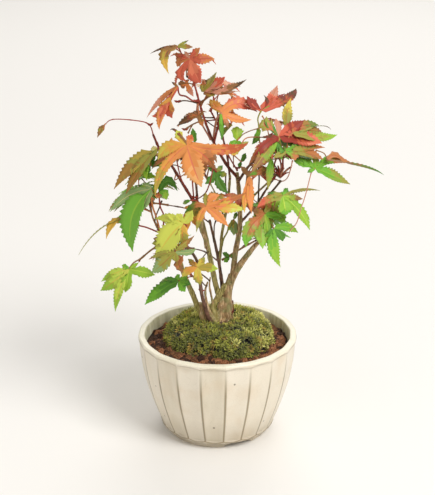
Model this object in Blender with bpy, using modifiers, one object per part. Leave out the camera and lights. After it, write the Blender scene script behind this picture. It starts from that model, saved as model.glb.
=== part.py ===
"""Japanese maple bonsai in a small fluted pot, in metres with +Z up.

A clump of slim stems rises from a flared foot in a mound of moss. Boughs fork from the stems, and
each carries a mass of foliage: one shoot, the leaf stalks that branch from it and their leaves.
Sizes and places below are millimetres, measured from the point of the table under the pot's axis,
with the viewer's side of the pot at -Y. The whole plant is then set with the middle of its
bounding box over the origin.
"""

import itertools
import math
import random
from dataclasses import dataclass

import bmesh
import bpy
from mathutils import Matrix, Vector
from mathutils.bvhtree import BVHTree

MM = 0.001
CLEAR = 0.3
COLLECTION = "japanese_maple_bonsai"

# Pot
POT_HEIGHT = 65.0
RIM_RADIUS = 50.0
WALL_FOOT_RADIUS = 35.5
WALL_SWELL = 1.9
WALL = 4.3
LIP_HEIGHT = 2.0
LIP_ROUND = 0.9
LIP_INSET = 1.2
WALL_HEIGHTS = (56.0, 38.0, 19.0)
FOOT_RADIUS = 31.5
FOOT_INNER_RADIUS = 27.5
FOOT_HEIGHT = 4.0
FOOT_STEP = 0.8
RECESS_HEIGHT = 3.0
FLOOR_HEIGHT = 8.5
FLOOR_RADIUS = 29.0
FLOOR_ROUND = 8.0
DRAIN_RADIUS = 4.0
FLUTES = 20
STEPS_PER_FLUTE = 3
FLUTE_DEPTH = 1.1
FLUTE_FADE = 4.0
FLUTE_TURN = math.radians(-84.1)
NOTCHES = 3
NOTCH_TURN = math.radians(-64.0)
NOTCH_WIDTH = 15.0
NOTCH_HEIGHT = 2.4
NOTCH_CUT = 10.0

# Soil and moss
SOIL_EDGE_HEIGHT = 57.0
SOIL_TOP_HEIGHT = 58.5
SOIL_FLAT_RADIUS = 34.0
SOIL_STEPS = 36
BORE_HEIGHTS = (15.0, 36.0, SOIL_EDGE_HEIGHT)
CLUMP_X = 1.5
CLUMP_Y = 3.0
MOSS_RADIUS = 33.0
MOSS_EDGE = 1.0
MOSS_CROWN = 13.5
MOSS_SHARES = (0.0, 0.25, 0.5, 0.75, 0.93, 1.0)
MOSS_STEPS = 30
MOSS_HOLE_FOOT = 12.6
MOSS_HOLE_TOP = 11.4
MOSS_TILT = 0.035

# Foot of the clump
CLUMP_RADIUS = 10.4
CLUMP_DEPTH_SHARE = 0.94
CLUMP_TOP_RADIUS = 7.4
CLUMP_HEIGHT = 15.0
CLUMP_SIDES = 20
CLUMP_ROWS = 5
ROOT_RIDGES = 5
ROOT_RIDGE_DEPTH = 0.11
ROOT_RIDGE_TURN = 0.8
CUT_HEIGHT = 79.0

# Limbs
CUT_LEAD = 1.5
LIMB_STEP = 7.5
TWIG_STEP = 9.0
NODE_STEP = 2.0

# Leaves
LEAF_THICKNESS = 0.45
STALK_RADIUS = 0.45
STALK_SINK = 0.09
STALK_ROOT = 0.07
LEAF_HUB = 0.15
SHOOT_RADIUS = 0.65
LOBE_ANGLES = (0.0, 41.0, 80.0)
LOBE_LENGTHS = (1.0, 0.9, 0.66)
BASAL_ANGLE = 120.0
BASAL_LENGTH = 0.36
LOBE_SHOULDER = 0.52
LOBE_HALF_WIDTH = 0.155
NOTCH_RADII = (0.33, 0.29, 0.22)
LEAF_FOLD = 0.05
LEAF_CUP = 0.22
SHELL_MARGIN = 1.03

# Leaves placed by rule: nodes climb the shoot and turn by the golden angle
GOLDEN_ANGLE = math.radians(137.5)
ANGLE_SPREAD = 0.4
FIRST_NODE = 0.4
RULE_REACH = (9, 16)
RULE_SPAN = (17, 24)
RULE_DROOP = (0.15, 0.9)
RULE_LEAN = (-0.1, 0.35)

# How a leaf that meets another is moved along the viewer's line of sight, leaned or given another
# stalk until it stands clear
SLIDES = (0, 2, -2, 4, -4, 6, -6, 9, -9, 12, -12, 15)
VIEWER = (0, -727, 399)
TILTS = (0.0, 0.15, -0.15)
NODE_STEPS = (0, 2, 4)
SAGS = ((0.0, 0.08), (0.0, -0.15), (0.15, 0.05), (-0.15, 0.05), (0.0, 0.3))
NODE_JITTER = (0.07, 0.05, 0.03)
ROUTE_CHECK_STEP = 0.7
DEEPEST = 6.0


@dataclass
class Limb:
    """One tapering limb: its route, its radius at each end, and the limb that it grows from."""

    name: str
    route: tuple
    radius: tuple
    parent: str = "trunk"


@dataclass
class Leaf:
    """One leaf: where its stalk meets it, its middle tip, and how far it leans to the viewer."""

    heart: tuple
    tip: tuple
    lean: float = 0.5


@dataclass
class Spray:
    """A mass of foliage: its limb, the route of its shoot, its leaves, how many more grow by rule,
    and how far from the shoot's tip a leaf may start."""

    name: str
    parent: str
    route: tuple
    leaves: tuple
    tint: tuple
    fill: int = 0
    reach: float = 40.0


STEMS = (
    Limb(
        "stem_left",
        ((-2, 1, 63), (-6.6, 2, 75), (-11.4, 0, 80), (-15, -3, 91), (-20.9, -7, 108), (-25, -11, 124),
         (-33.4, -14, 136)),
        (2.0, 1.1),
    ),
    Limb(
        "stem_front",
        ((-1, -1, 63), (-4.6, -2.8, 73), (-7.2, -4.6, 82), (-10, -8, 96), (-12.2, -10, 116),
         (-18.2, -7, 125)),
        (1.5, 0.8),
    ),
    Limb(
        "stem_middle",
        ((0, 3, 63), (-1.6, 3.5, 78), (-1.5, 4, 92), (-3.1, 4, 106), (-6.6, 2, 125), (-9.2, 0, 138),
         (-14, -3.5, 153.5)),
        (1.9, 1.1),
    ),
    Limb(
        "stem_back_left",
        ((1.5, 5, 63), (3.0, 8.5, 79), (2.8, 9, 93), (-0.4, 11, 113), (-5, 12, 136)),
        (1.3, 0.75),
    ),
    Limb(
        "stem_back_right",
        ((4, 6, 63), (6.4, 12, 79), (4.5, 13.5, 91), (2.8, 12.5, 108), (2.6, 11, 127), (6.4, 12, 148),
         (7.7, 12, 165)),
        (1.3, 0.7),
    ),
    Limb(
        "stem_right",
        ((4.5, 3, 63), (7.4, 4.6, 76), (6.9, 3.4, 91), (9.6, 2, 104), (11, 3, 117), (13.8, 5.4, 135),
         (13.1, 8, 156), (11.8, 8, 168)),
        (2.2, 1.2),
    ),
)

BOUGHS = (
    Limb(
        "bough_far_right",
        ((9.4, 2, 102), (12.9, 0, 109), (21.2, -6, 123.5), (24.4, -9, 128.6)),
        (1.4, 0.9), "stem_right",
    ),
    Limb(
        "bough_leader",
        ((12.2, 8, 165), (5.6, 6, 173.5), (-2.4, 2, 189), (-7.2, -1.5, 202)),
        (1.0, 0.75), "stem_right",
    ),
    Limb(
        "bough_upper_right",
        ((12.5, 8, 162), (18.7, 4, 173), (23.6, 0.5, 179)),
        (0.9, 0.7), "stem_right",
    ),
    Limb(
        "bough_bud",
        ((13.9, 5.6, 136), (23.4, 4, 148.2), (30.7, 0, 161.8), (34, -3, 168)),
        (0.8, 0.6), "stem_right",
    ),
    Limb(
        "bough_left",
        ((-12.6, -2.4, 149.5), (-26.9, -6, 175.9), (-33.8, -8, 186.7), (-38, -9.2, 197)),
        (1.0, 0.7), "stem_middle",
    ),
    Limb(
        "bough_centre",
        ((-12, -2, 147), (-12.5, -10, 163), (-13.5, -17, 177)),
        (0.85, 0.65), "stem_middle",
    ),
    Limb(
        "bough_back_left",
        ((-4.6, 12, 134), (-18, 20, 140), (-32, 26, 141)),
        (0.75, 0.6), "stem_back_left",
    ),
    Limb(
        "bough_back_low",
        ((0.2, 11, 109), (-8, 19, 112), (-16, 25, 112)),
        (0.8, 0.6), "stem_back_left",
    ),
    Limb(
        "bough_back_middle",
        ((4, 11.4, 138), (0, 19, 148), (-5, 26, 156)),
        (0.75, 0.6), "stem_back_right",
    ),
    Limb(
        "bough_back_top",
        ((7.6, 12, 163), (6, 16, 176), (3, 19, 188)),
        (0.7, 0.6), "stem_back_right",
    ),
    Limb(
        "bough_back_right",
        ((13.6, 6.9, 145), (24, 16, 152), (34, 23, 159)),
        (0.85, 0.6), "stem_right",
    ),
)

RED = (0.42, 0.06, 0.025)
ORANGE = (0.55, 0.13, 0.04)
BRONZE = (0.30, 0.13, 0.05)
GOLD = (0.45, 0.34, 0.07)
GREEN = (0.16, 0.30, 0.03)
DEEP_GREEN = (0.07, 0.19, 0.03)

SPRAYS = (
    Spray(
        "foliage_top", "bough_leader",
        ((-6.8, -1.2, 201), (-10, -3, 212), (-13, -4.5, 224), (-16.6, -6, 235.8)),
        (
            Leaf((-23, -8, 249.2), (-31, -17, 239), 0.45),
            Leaf((-15.8, -8, 243), (-8, -18, 229.8), 0.8),
            Leaf((-22.8, -14, 227.1), (-27, -22, 210.3), 0.7),
            Leaf((-19.2, -4, 226.9), (-14.7, 4, 217.6), 0.3),
            Leaf((-5.9, -4, 220.5), (15.2, -2, 227.2), 0.4),
            Leaf((-11, -7, 206.5), (-23.7, -12, 202.7), 0.4),
        ),
        RED, 1, 34,
    ),
    Spray(
        "foliage_upper_middle", "bough_leader",
        ((-2.2, 2.1, 188.3), (-0.4, 0.5, 196), (1.2, -3, 205)),
        (
            Leaf((2.9, -6, 210.2), (23.8, -14, 211.7), 0.5),
            Leaf((3.5, 6, 189.5), (11.4, 8, 197.7), 0.3),
        ),
        ORANGE, 1, 30,
    ),
    Spray(
        "foliage_upper_right", "bough_upper_right",
        ((23, 1, 178), (27, -2, 187), (31, -5, 195)),
        (
            Leaf((27.9, 2, 208.1), (44.5, 6, 219.9), 0.5),
            Leaf((35, -16, 197.3), (57.5, -20, 200), 0.5),
            Leaf((44.9, -6, 196.3), (71.3, -2, 194.5), 0.3),
            Leaf((40, -2, 201), (42.7, 4, 215.5), 0.6),
            Leaf((25.7, 2, 197.7), (19.6, 4, 188), 0.5),
        ),
        BRONZE, 1, 45,
    ),
    Spray(
        "foliage_right", "bough_upper_right",
        ((21.5, 2, 176.6), (29, -6, 181), (36, -12, 185), (42, -14, 186)),
        (
            Leaf((40.6, -22, 191.1), (62.2, -28, 193.5), 0.3),
            Leaf((67.4, -4, 181.5), (99.2, -2, 169.6), -0.4),
            Leaf((33, -13, 188), (20.2, -19, 176), 0.6),
            Leaf((32.4, -16, 181), (30.1, -22, 162), 0.9),
        ),
        GREEN, 1, 50,
    ),
    Spray(
        "foliage_right_low", "bough_far_right",
        ((24, -8.6, 127.7), (29, -11, 138), (33, -12, 147)),
        (
            Leaf((36.1, -20, 156.7), (53.5, -30, 144.6), 0.6),
            Leaf((57, -14, 176.2), (77.4, -22, 170.1), 0.4),
            Leaf((26.9, -16, 146.5), (23.2, -26, 131.1), 0.85),
            Leaf((34.3, -14, 138.1), (37.8, -24, 118.8), 0.85),
            Leaf((42, -8, 162), (61, -10, 161), -0.4),
            Leaf((24, -10, 158), (14, -15, 140), 0.8),
        ),
        GREEN, 1, 50,
    ),
    Spray(
        "foliage_middle_right", "stem_right",
        ((13.4, 7.4, 150), (16, -1, 158), (18, -11, 166)),
        (
            Leaf((18.8, -20, 171.6), (15.3, -28, 148.9), 0.9),
        ),
        ORANGE, 1, 26,
    ),
    Spray(
        "foliage_middle", "stem_middle",
        ((-10.6, -1, 143), (-7.5, -9, 149), (-7, -18, 154)),
        (
            Leaf((-6.7, -26, 157.5), (7, -34, 150.4), 0.75),
            Leaf((-14.4, -12, 156.6), (-23.5, -15, 155), 0.3),
        ),
        ORANGE, 0, 30,
    ),
    Spray(
        "foliage_centre", "bough_centre",
        ((-13.4, -16.4, 176), (-15, -22, 186), (-16, -27, 193)),
        (
            Leaf((-16.9, -34, 197.6), (-9.1, -46, 177.6), 0.85),
            Leaf((-8, -27, 197), (17.9, -24, 196.5), 0.6),
            Leaf((-24, -28, 198), (-38, -31, 196), 0.5),
        ),
        ORANGE, 0, 38,
    ),
    Spray(
        "foliage_left_upper", "bough_left",
        ((-33.4, -7.8, 186), (-37, -11, 184), (-40, -14, 182)),
        (
            Leaf((-44.8, -16, 179.1), (-60.7, -24, 168.6), 0.5),
            Leaf((-38.5, -17, 179), (-37, -25, 164), 0.7),
        ),
        GREEN, 1, 30,
    ),
    Spray(
        "foliage_left_shoot", "bough_left",
        ((-37.6, -9, 196), (-40.7, -10, 204.3), (-52, -11, 206.8), (-61.4, -12, 206.5), (-69, -14, 200)),
        (
            Leaf((-69.6, -14.2, 199), (-73, -16, 191), 0.4),
            Leaf((-43, -8, 208), (-50, -2, 216), 0.3),
        ),
        BRONZE, 0, 40,
    ),
    Spray(
        "foliage_left", "stem_left",
        ((-32.6, -13.6, 135), (-38, -17, 146), (-40, -19, 156)),
        (
            Leaf((-40.4, -24, 166.8), (-49.1, -38, 134.5), 0.85),
            Leaf((-58.3, -16, 150.4), (-82.7, -20, 125.8), -0.2),
        ),
        GREEN, 1, 50,
    ),
    Spray(
        "foliage_left_low", "stem_left",
        ((-29.4, -12.6, 131), (-39, -15, 127), (-47, -18, 121)),
        (
            Leaf((-52.9, -22, 117), (-62.1, -36, 96.6), 0.85),
        ),
        GREEN, 0, 40,
    ),
    Spray(
        "foliage_left_inner", "stem_front",
        ((-17.6, -7.4, 124), (-20.5, -15, 133), (-20, -23, 141)),
        (
            Leaf((-19.1, -30, 148.4), (-33.1, -44, 136.1), 0.8),
            Leaf((-24.1, -34, 132.3), (-37.9, -44, 123.6), 0.8),
        ),
        GOLD, 0, 36,
    ),
    Spray(
        "foliage_front_low", "stem_front",
        ((-11.4, -9.6, 106), (-14, -16, 109), (-16, -22, 113)),
        (
            Leaf((-23.6, -21, 108.7), (-43.5, -32, 97.8), 0.5),
            Leaf((-12.2, -30, 121.7), (-10.3, -34, 111.6), 0.9),
        ),
        DEEP_GREEN, 0, 40,
    ),
    Spray(
        "foliage_bud", "bough_bud",
        ((33.6, -2.6, 167), (35.4, -3.6, 170.5), (36.8, -4, 173)),
        (
            Leaf((38.4, -5, 174), (45, -8, 176), 0.5),
            Leaf((36, -4, 175), (33, -6, 182), 0.6),
        ),
        RED, 0, 14,
    ),
    Spray(
        "foliage_back_left", "bough_back_left",
        ((-31, 25.7, 141), (-40, 29, 141), (-47, 31, 139)),
        (), GREEN, 4, 34,
    ),
    Spray(
        "foliage_back_low", "bough_back_low",
        ((-15, 24.6, 112), (-22, 30, 111), (-28, 34, 108)),
        (), DEEP_GREEN, 3, 32,
    ),
    Spray(
        "foliage_back_middle", "bough_back_middle",
        ((-4.6, 25.3, 155), (-9, 31, 161), (-12, 36, 165)),
        (), GOLD, 4, 34,
    ),
    Spray(
        "foliage_back_top", "bough_back_top",
        ((3.2, 18.8, 187), (0, 21, 195), (-4, 24, 202)),
        (), ORANGE, 3, 32,
    ),
    Spray(
        "foliage_back_right", "bough_back_right",
        ((33, 22.4, 158.4), (40, 27.4, 163), (46.4, 30, 166.6)),
        (), GREEN, 4, 36,
    ),
    Spray(
        "foliage_back_under", "stem_back_right",
        ((2.8, 12.4, 109), (14, 18, 114), (24, 23, 118), (32, 27, 121)),
        (), DEEP_GREEN, 3, 32,
    ),
)


def clear_scene():
    """Removes every object that the file starts with."""
    for obj in list(bpy.data.objects):
        bpy.data.objects.remove(obj, do_unlink=True)


def new_collection(name, helper=False):
    """Adds a collection under the scene; a helper one is left out of renders."""
    collection = bpy.data.collections.new(name)
    collection.hide_render = helper
    bpy.context.scene.collection.children.link(collection)
    return collection


def material(name, colour, roughness):
    """A Principled material of one colour."""
    made = bpy.data.materials.new(name)
    made.use_nodes = True
    shader = made.node_tree.nodes["Principled BSDF"]
    shader.inputs["Base Color"].default_value = (*colour, 1.0)
    shader.inputs["Roughness"].default_value = roughness
    shader.inputs["Metallic"].default_value = 0.0
    return made


def mm(point):
    """A point of millimetres as a vector of metres."""
    return Vector(point) * MM


def evaluated_mesh(obj):
    """A new mesh of the object as its modifiers leave it, in world space and with caps welded."""
    bpy.context.view_layer.update()
    graph = bpy.context.evaluated_depsgraph_get()
    mesh = bpy.data.meshes.new_from_object(obj.evaluated_get(graph))
    mesh.transform(obj.matrix_world)
    work = bmesh.new()
    work.from_mesh(mesh)
    bmesh.ops.remove_doubles(work, verts=work.verts, dist=1e-6)
    work.to_mesh(mesh)
    work.free()
    return mesh


def as_mesh_object(obj, collection):
    """Puts a mesh object with the evaluated shape in place of the given object."""
    mesh = evaluated_mesh(obj)
    name = obj.name
    bpy.data.objects.remove(obj, do_unlink=True)
    mesh.name = name
    made = bpy.data.objects.new(name, mesh)
    collection.objects.link(made)
    return made


def turned(name, profile, steps, collection):
    """Turns a closed profile of (radius, height) points about the Z axis."""
    mesh = bpy.data.meshes.new(name)
    points = [(radius * MM, 0.0, height * MM) for radius, height in profile]
    edges = [(i, (i + 1) % len(points)) for i in range(len(points))]
    mesh.from_pydata(points, edges, [])
    obj = bpy.data.objects.new(name, mesh)
    collection.objects.link(obj)
    screw = obj.modifiers.new("turn", "SCREW")
    screw.axis = "Z"
    screw.angle = math.tau
    screw.steps = steps
    screw.render_steps = steps
    screw.use_merge_vertices = False
    return as_mesh_object(obj, collection)


def wall_radius(height):
    """Outer radius of the pot's wall at a height above the table."""
    rise = (height - FOOT_HEIGHT) / (POT_HEIGHT - FOOT_HEIGHT)
    return WALL_FOOT_RADIUS + (RIM_RADIUS - WALL_FOOT_RADIUS) * (1 - (1 - rise) ** WALL_SWELL)


def bore_radius(height):
    """Inner radius of the pot at a height above its floor."""
    low = max(height, FLOOR_HEIGHT)
    rounding = max(0.0, 1 - (low - FLOOR_HEIGHT) / FLOOR_ROUND) ** 2
    inside = wall_radius(low) - WALL
    return inside + (FLOOR_RADIUS - inside) * rounding


def flute_depth(angle, height):
    """How far the wall is hollowed between two ridges, fading out at the foot and under the lip."""
    phase = (angle - FLUTE_TURN) / math.tau * FLUTES % 1.0
    top = POT_HEIGHT - LIP_HEIGHT
    fade = min(1.0, max(0.0, (top - height) / FLUTE_FADE))
    return FLUTE_DEPTH * math.sin(math.pi * phase) * fade


def build_pot(collection, cutters):
    """The fluted pot: wall, lip, floor with a drain hole, and a foot ring with notches."""
    top = POT_HEIGHT - LIP_HEIGHT
    outer = [(wall_radius(z), z) for z in (POT_HEIGHT - LIP_ROUND, top, *WALL_HEIGHTS, FOOT_HEIGHT)]
    foot = [(FOOT_RADIUS, FOOT_HEIGHT - FOOT_STEP), (FOOT_RADIUS, 0), (FOOT_INNER_RADIUS, 0),
            (FOOT_INNER_RADIUS, RECESS_HEIGHT), (DRAIN_RADIUS, RECESS_HEIGHT)]
    inner = [(DRAIN_RADIUS, FLOOR_HEIGHT), (FLOOR_RADIUS, FLOOR_HEIGHT)]
    inner += [(bore_radius(z), z) for z in (*BORE_HEIGHTS, POT_HEIGHT - LIP_ROUND)]
    lip = [(RIM_RADIUS - WALL + LIP_INSET, POT_HEIGHT), (RIM_RADIUS - LIP_INSET, POT_HEIGHT)]
    pot = turned("pot", outer + foot + inner + lip, FLUTES * STEPS_PER_FLUTE, collection)
    pot.data.transform(Matrix.Rotation(FLUTE_TURN, 4, "Z"))
    for vertex in pot.data.vertices:
        x, y, z = vertex.co / MM
        radius = math.hypot(x, y)
        if z > FOOT_HEIGHT - 0.1 and radius > wall_radius(z) - WALL / 2:
            shrink = 1 - flute_depth(math.atan2(y, x), z) / radius
            vertex.co.x *= shrink
            vertex.co.y *= shrink
    for index in range(NOTCHES):
        turn = NOTCH_TURN + math.tau * index / NOTCHES
        middle = (FOOT_RADIUS + FOOT_INNER_RADIUS) / 2
        bpy.ops.mesh.primitive_cube_add(size=1)
        cutter = bpy.context.object
        cutter.name = f"notch_cutter_{index + 1}"
        cutter.dimensions = (NOTCH_CUT * MM, NOTCH_WIDTH * MM, 2 * NOTCH_HEIGHT * MM)
        cutter.location = mm((middle * math.cos(turn), middle * math.sin(turn), 0))
        cutter.rotation_euler.z = turn
        adopt(cutter, cutters)
        cutter.display_type = "WIRE"
        cutter.hide_render = True
        cut = pot.modifiers.new("notch", "BOOLEAN")
        cut.object = cutter
        cut.operation = "DIFFERENCE"
    pot.data.materials.append(material("glazed_stoneware", (0.79, 0.70, 0.54), 0.35))
    return pot


def adopt(obj, collection):
    """Moves an object that an operator made into a collection of the model."""
    for owner in list(obj.users_collection):
        owner.objects.unlink(obj)
    collection.objects.link(obj)


def build_soil(collection):
    """The soil that fills the pot, clear of its wall and floor."""
    bottom = FLOOR_HEIGHT + CLEAR
    inset = CLEAR + 0.1
    rings = [(SOIL_FLAT_RADIUS, SOIL_TOP_HEIGHT)]
    rings += [(bore_radius(z) - inset, z) for z in reversed(BORE_HEIGHTS)]
    rings.append((FLOOR_RADIUS - inset, bottom))
    mesh = bpy.data.meshes.new("soil")
    work = bmesh.new()
    radius = rings[0][0]
    bmesh.ops.create_circle(work, cap_ends=True, segments=SOIL_STEPS, radius=radius * MM,
                            matrix=Matrix.Translation(mm((0, 0, SOIL_TOP_HEIGHT))))
    edge = [item for item in work.edges if item.is_boundary]
    for wide, height in rings[1:]:
        made = bmesh.ops.extrude_edge_only(work, edges=edge)["geom"]
        edge = [item for item in made if isinstance(item, bmesh.types.BMEdge) and item.is_boundary]
        for vertex in {vertex for item in edge for vertex in item.verts}:
            vertex.co.x *= wide / radius
            vertex.co.y *= wide / radius
            vertex.co.z = height * MM
        radius = wide
    bmesh.ops.contextual_create(work, geom=edge)
    bmesh.ops.recalc_face_normals(work, faces=work.faces)
    work.to_mesh(mesh)
    work.free()
    soil = bpy.data.objects.new("soil", mesh)
    collection.objects.link(soil)
    mesh.materials.append(material("fired_clay_granules", (0.17, 0.06, 0.025), 0.9))
    return soil


def clump_radius(height):
    """Radius of the foot of the clump at a height, flaring to the soil."""
    rise = min(1.0, max(0.0, (height - SOIL_TOP_HEIGHT) / CLUMP_HEIGHT))
    return CLUMP_TOP_RADIUS + (CLUMP_RADIUS - CLUMP_TOP_RADIUS) * (1 - rise) ** 2


def moss_lump(x, y):
    """The uneven swell of the moss over its smooth mound."""
    return 0.9 * math.sin(x * 0.31 + 1.0) * math.cos(y * 0.27) + 0.6 * math.sin(y * 0.55 + x * 0.2)


def build_moss(collection):
    """The mound of moss on the soil, open round the foot of the clump."""
    base = SOIL_TOP_HEIGHT + CLEAR
    crown = []
    for share in MOSS_SHARES:
        radius = MOSS_HOLE_TOP + (MOSS_RADIUS - MOSS_HOLE_TOP) * share
        rise = math.sqrt(1 - share ** 2.4)
        crown.append((radius, base + MOSS_EDGE + (MOSS_CROWN - MOSS_EDGE) * rise))
    low = [(MOSS_RADIUS, base), (MOSS_HOLE_FOOT, base)]
    moss = turned("moss", crown + low, MOSS_STEPS, collection)
    moss.data.transform(Matrix.Translation(mm((CLUMP_X, CLUMP_Y, 0))))
    for vertex in moss.data.vertices:
        x, y, z = vertex.co / MM
        lift = (z - base) / MOSS_CROWN
        vertex.co.z += lift * (moss_lump(x, y) + MOSS_TILT * (x + y)) * MM
    moss.data.materials.append(material("cushion_moss", (0.12, 0.16, 0.02), 0.95))
    return moss


def smooth_route(points, step):
    """Points about a step apart along a smooth curve through the given ones, in millimetres."""
    way = [Vector(point) for point in points]
    way = [2 * way[0] - way[1], *way, 2 * way[-1] - way[-2]]
    made = []
    for before, start, end, after in zip(way, way[1:], way[2:], way[3:]):
        count = max(1, round((end - start).length / step))
        for index in range(count):
            t = index / count
            made.append(0.5 * (
                2 * start + (end - before) * t + (2 * before - 5 * start + 4 * end - after) * t ** 2
                + (3 * start - before - 3 * end + after) * t ** 3
            ))
    return [*made, way[-2]]


def nodes_along(points, step):
    """Points about a step apart on the straight stretches between the given ones."""
    made = []
    for start, end in zip(points, points[1:]):
        count = max(1, round((end - start).length / step))
        made += [start.lerp(end, index / count) for index in range(count)]
    return [*made, points[-1]]


def tapered(count, radius):
    """Radii from the first to the second value over a number of points."""
    return [radius[0] + (radius[1] - radius[0]) * i / max(1, count - 1) for i in range(count)]


def tube(name, points, radii, sides, collection):
    """A curve with a round section of changing radius and filled ends; sides is 4, 6 or 8."""
    curve = bpy.data.curves.new(name, "CURVE")
    curve.dimensions = "3D"
    curve.bevel_depth = MM
    curve.bevel_resolution = (sides - 4) // 2
    curve.use_fill_caps = True
    spline = curve.splines.new("POLY")
    spline.points.add(len(points) - 1)
    for spot, place, radius in zip(spline.points, points, radii):
        spot.co = (*(Vector(place) * MM), 1.0)
        spot.radius = radius
    obj = bpy.data.objects.new(name, curve)
    collection.objects.link(obj)
    return obj


class Space:
    """What is already in place, so that the next piece keeps clear of it."""

    def __init__(self):
        self.taken = []

    def add(self, owner, mesh):
        """Notes a mesh in metres as part of an owner's node."""
        tree = BVHTree.FromPolygons([v.co for v in mesh.vertices], [tuple(p.vertices) for p in mesh.polygons])
        self.taken.append((owner, tree))

    def route_clear(self, owner, points, radius):
        """Whether a thin round route stays clear of all that other nodes hold."""
        others = [tree for other, tree in self.taken if other != owner]
        for start, end in zip(points, points[1:]):
            count = max(1, math.ceil((end - start).length / ROUTE_CHECK_STEP))
            for index in range(count + 1):
                place = start.lerp(end, index / count) * MM
                if any(self.too_near(tree, place, (radius + CLEAR) * MM) for tree in others):
                    return False
        return True

    @staticmethod
    def too_near(tree, place, reach):
        """Whether a point in metres lies inside a closed mesh or within a reach of it."""
        near, normal, _, distance = tree.find_nearest(place)
        return distance < reach or (place - near).dot(normal) < 0 and distance < DEEPEST * MM

    def shell_clear(self, points, faces):
        """Whether a closed shell in metres crosses nothing."""
        tree = BVHTree.FromPolygons(points, faces)
        return not any(tree.overlap(other) for _, other in self.taken)


def leaf_outline(span, rng):
    """The flat outline of a leaf round its hub: points (x, y), y along the middle lobe, and their kinds."""
    span = span * (1 - LEAF_HUB)
    lobes = []
    for side in (-1, 1):
        for angle, length in zip(LOBE_ANGLES[1:], LOBE_LENGTHS[1:]):
            lobes.append((side * angle + rng.uniform(-4, 4), length * rng.uniform(0.92, 1.06)))
    lobes.append((0.0, 1.0))
    lobes.sort()
    points = [(-BASAL_ANGLE, BASAL_LENGTH * span, "tip")]
    gaps = [NOTCH_RADII[2], NOTCH_RADII[1], NOTCH_RADII[0]]
    gaps += gaps[::-1]
    edges = [-BASAL_ANGLE, *(angle for angle, _ in lobes), BASAL_ANGLE]
    for index, (angle, length) in enumerate(lobes):
        points.append(((edges[index] + edges[index + 1]) / 2, gaps[index] * span, "notch"))
        reach = LOBE_SHOULDER * length * span
        half = LOBE_HALF_WIDTH * length * span
        spread = math.degrees(math.atan2(half, reach))
        shoulders = abs(angle) < LOBE_ANGLES[2] - 10
        if shoulders:
            points.append((angle - spread, math.hypot(reach, half), "shoulder"))
        points.append((angle, length * span, "tip"))
        if shoulders:
            points.append((angle + spread, math.hypot(reach, half), "shoulder"))
    points.append(((edges[-2] + BASAL_ANGLE) / 2, gaps[-1] * span, "notch"))
    points.append((BASAL_ANGLE, BASAL_LENGTH * span, "tip"))
    return [
        (radius * math.sin(math.radians(angle)), radius * math.cos(math.radians(angle)), kind)
        for angle, radius, kind in points
    ]


def leaf_frame(heart, tip, lean):
    """The matrix that lays a leaf from its heart to its tip, its face leaning to the viewer."""
    aim = (tip - heart).normalized()
    face = Vector((0, -math.sin(lean * math.pi / 2), math.cos(lean * math.pi / 2)))
    across = aim.cross(face).normalized()
    up = across.cross(aim)
    turn = Matrix((across, aim, up)).transposed().to_4x4()
    return Matrix.Translation(heart) @ turn


def leaf_surface(heart, tip, lean, seed):
    """Points in millimetres and faces of one open leaf, fanned from its hub with a fold at each rib."""
    span = (tip - heart).length
    outline = leaf_outline(span, random.Random(seed))
    frame = leaf_frame(heart, tip, lean)
    points = [frame @ Vector((0, LEAF_HUB * span, 0)), heart.copy()]
    for x, y, kind in outline:
        lift = LEAF_FOLD * span if kind != "tip" else 0.0
        points.append(frame @ Vector((x, y + LEAF_HUB * span, lift - LEAF_CUP * x * x / span)))
    rim = range(1, len(points))
    faces = [(0, after, before) for before, after in zip(rim, [*rim[1:], 1])]
    return points, faces, frame


def shell_around(points, faces, frame, half):
    """A closed shell in metres that keeps half a thickness off both sides of an open leaf."""
    up = (frame.to_3x3() @ Vector((0, 0, 1))) * half
    hub = points[0]
    wide = [hub + (point - hub) * SHELL_MARGIN for point in points]
    count = len(wide)
    shell = [(point + up) * MM for point in wide] + [(point - up) * MM for point in wide]
    both = list(faces) + [tuple(i + count for i in reversed(face)) for face in faces]
    rim = range(1, count)
    for i, j in zip(rim, [*rim[1:], 1]):
        both.append((i, j, j + count, i + count))
    return shell, both


def stalk_route(node, heart, frame, span, sag):
    """The stalk's route from its node on the shoot to a root sunk in the leaf, in millimetres."""
    across, aim, up = frame.to_3x3().transposed()
    root = heart - up * STALK_SINK + across * STALK_SINK
    reach = (heart - node).length
    control = root - aim * reach * 0.35 + Vector((sag[0], 0, sag[1])) * reach
    route = [node]
    for t in (0.35, 0.7):
        route.append(node * (1 - t) ** 2 + control * 2 * t * (1 - t) + root * t * t)
    return [*route, root, root + aim * max(1.0, span * STALK_ROOT)]


def nearest_node(shoot, heart, back):
    """The point of the shoot where a stalk leaves it: near the leaf but short of the shoot's end, or
    a few steps back from there."""
    first = len(shoot) // 3
    usable = range(first, len(shoot) - 1)
    near = min(usable, key=lambda i: (shoot[i] - heart).length + 0.5 * max(0.0, shoot[i].z - heart.z))
    return shoot[max(first, near - back)]


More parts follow.
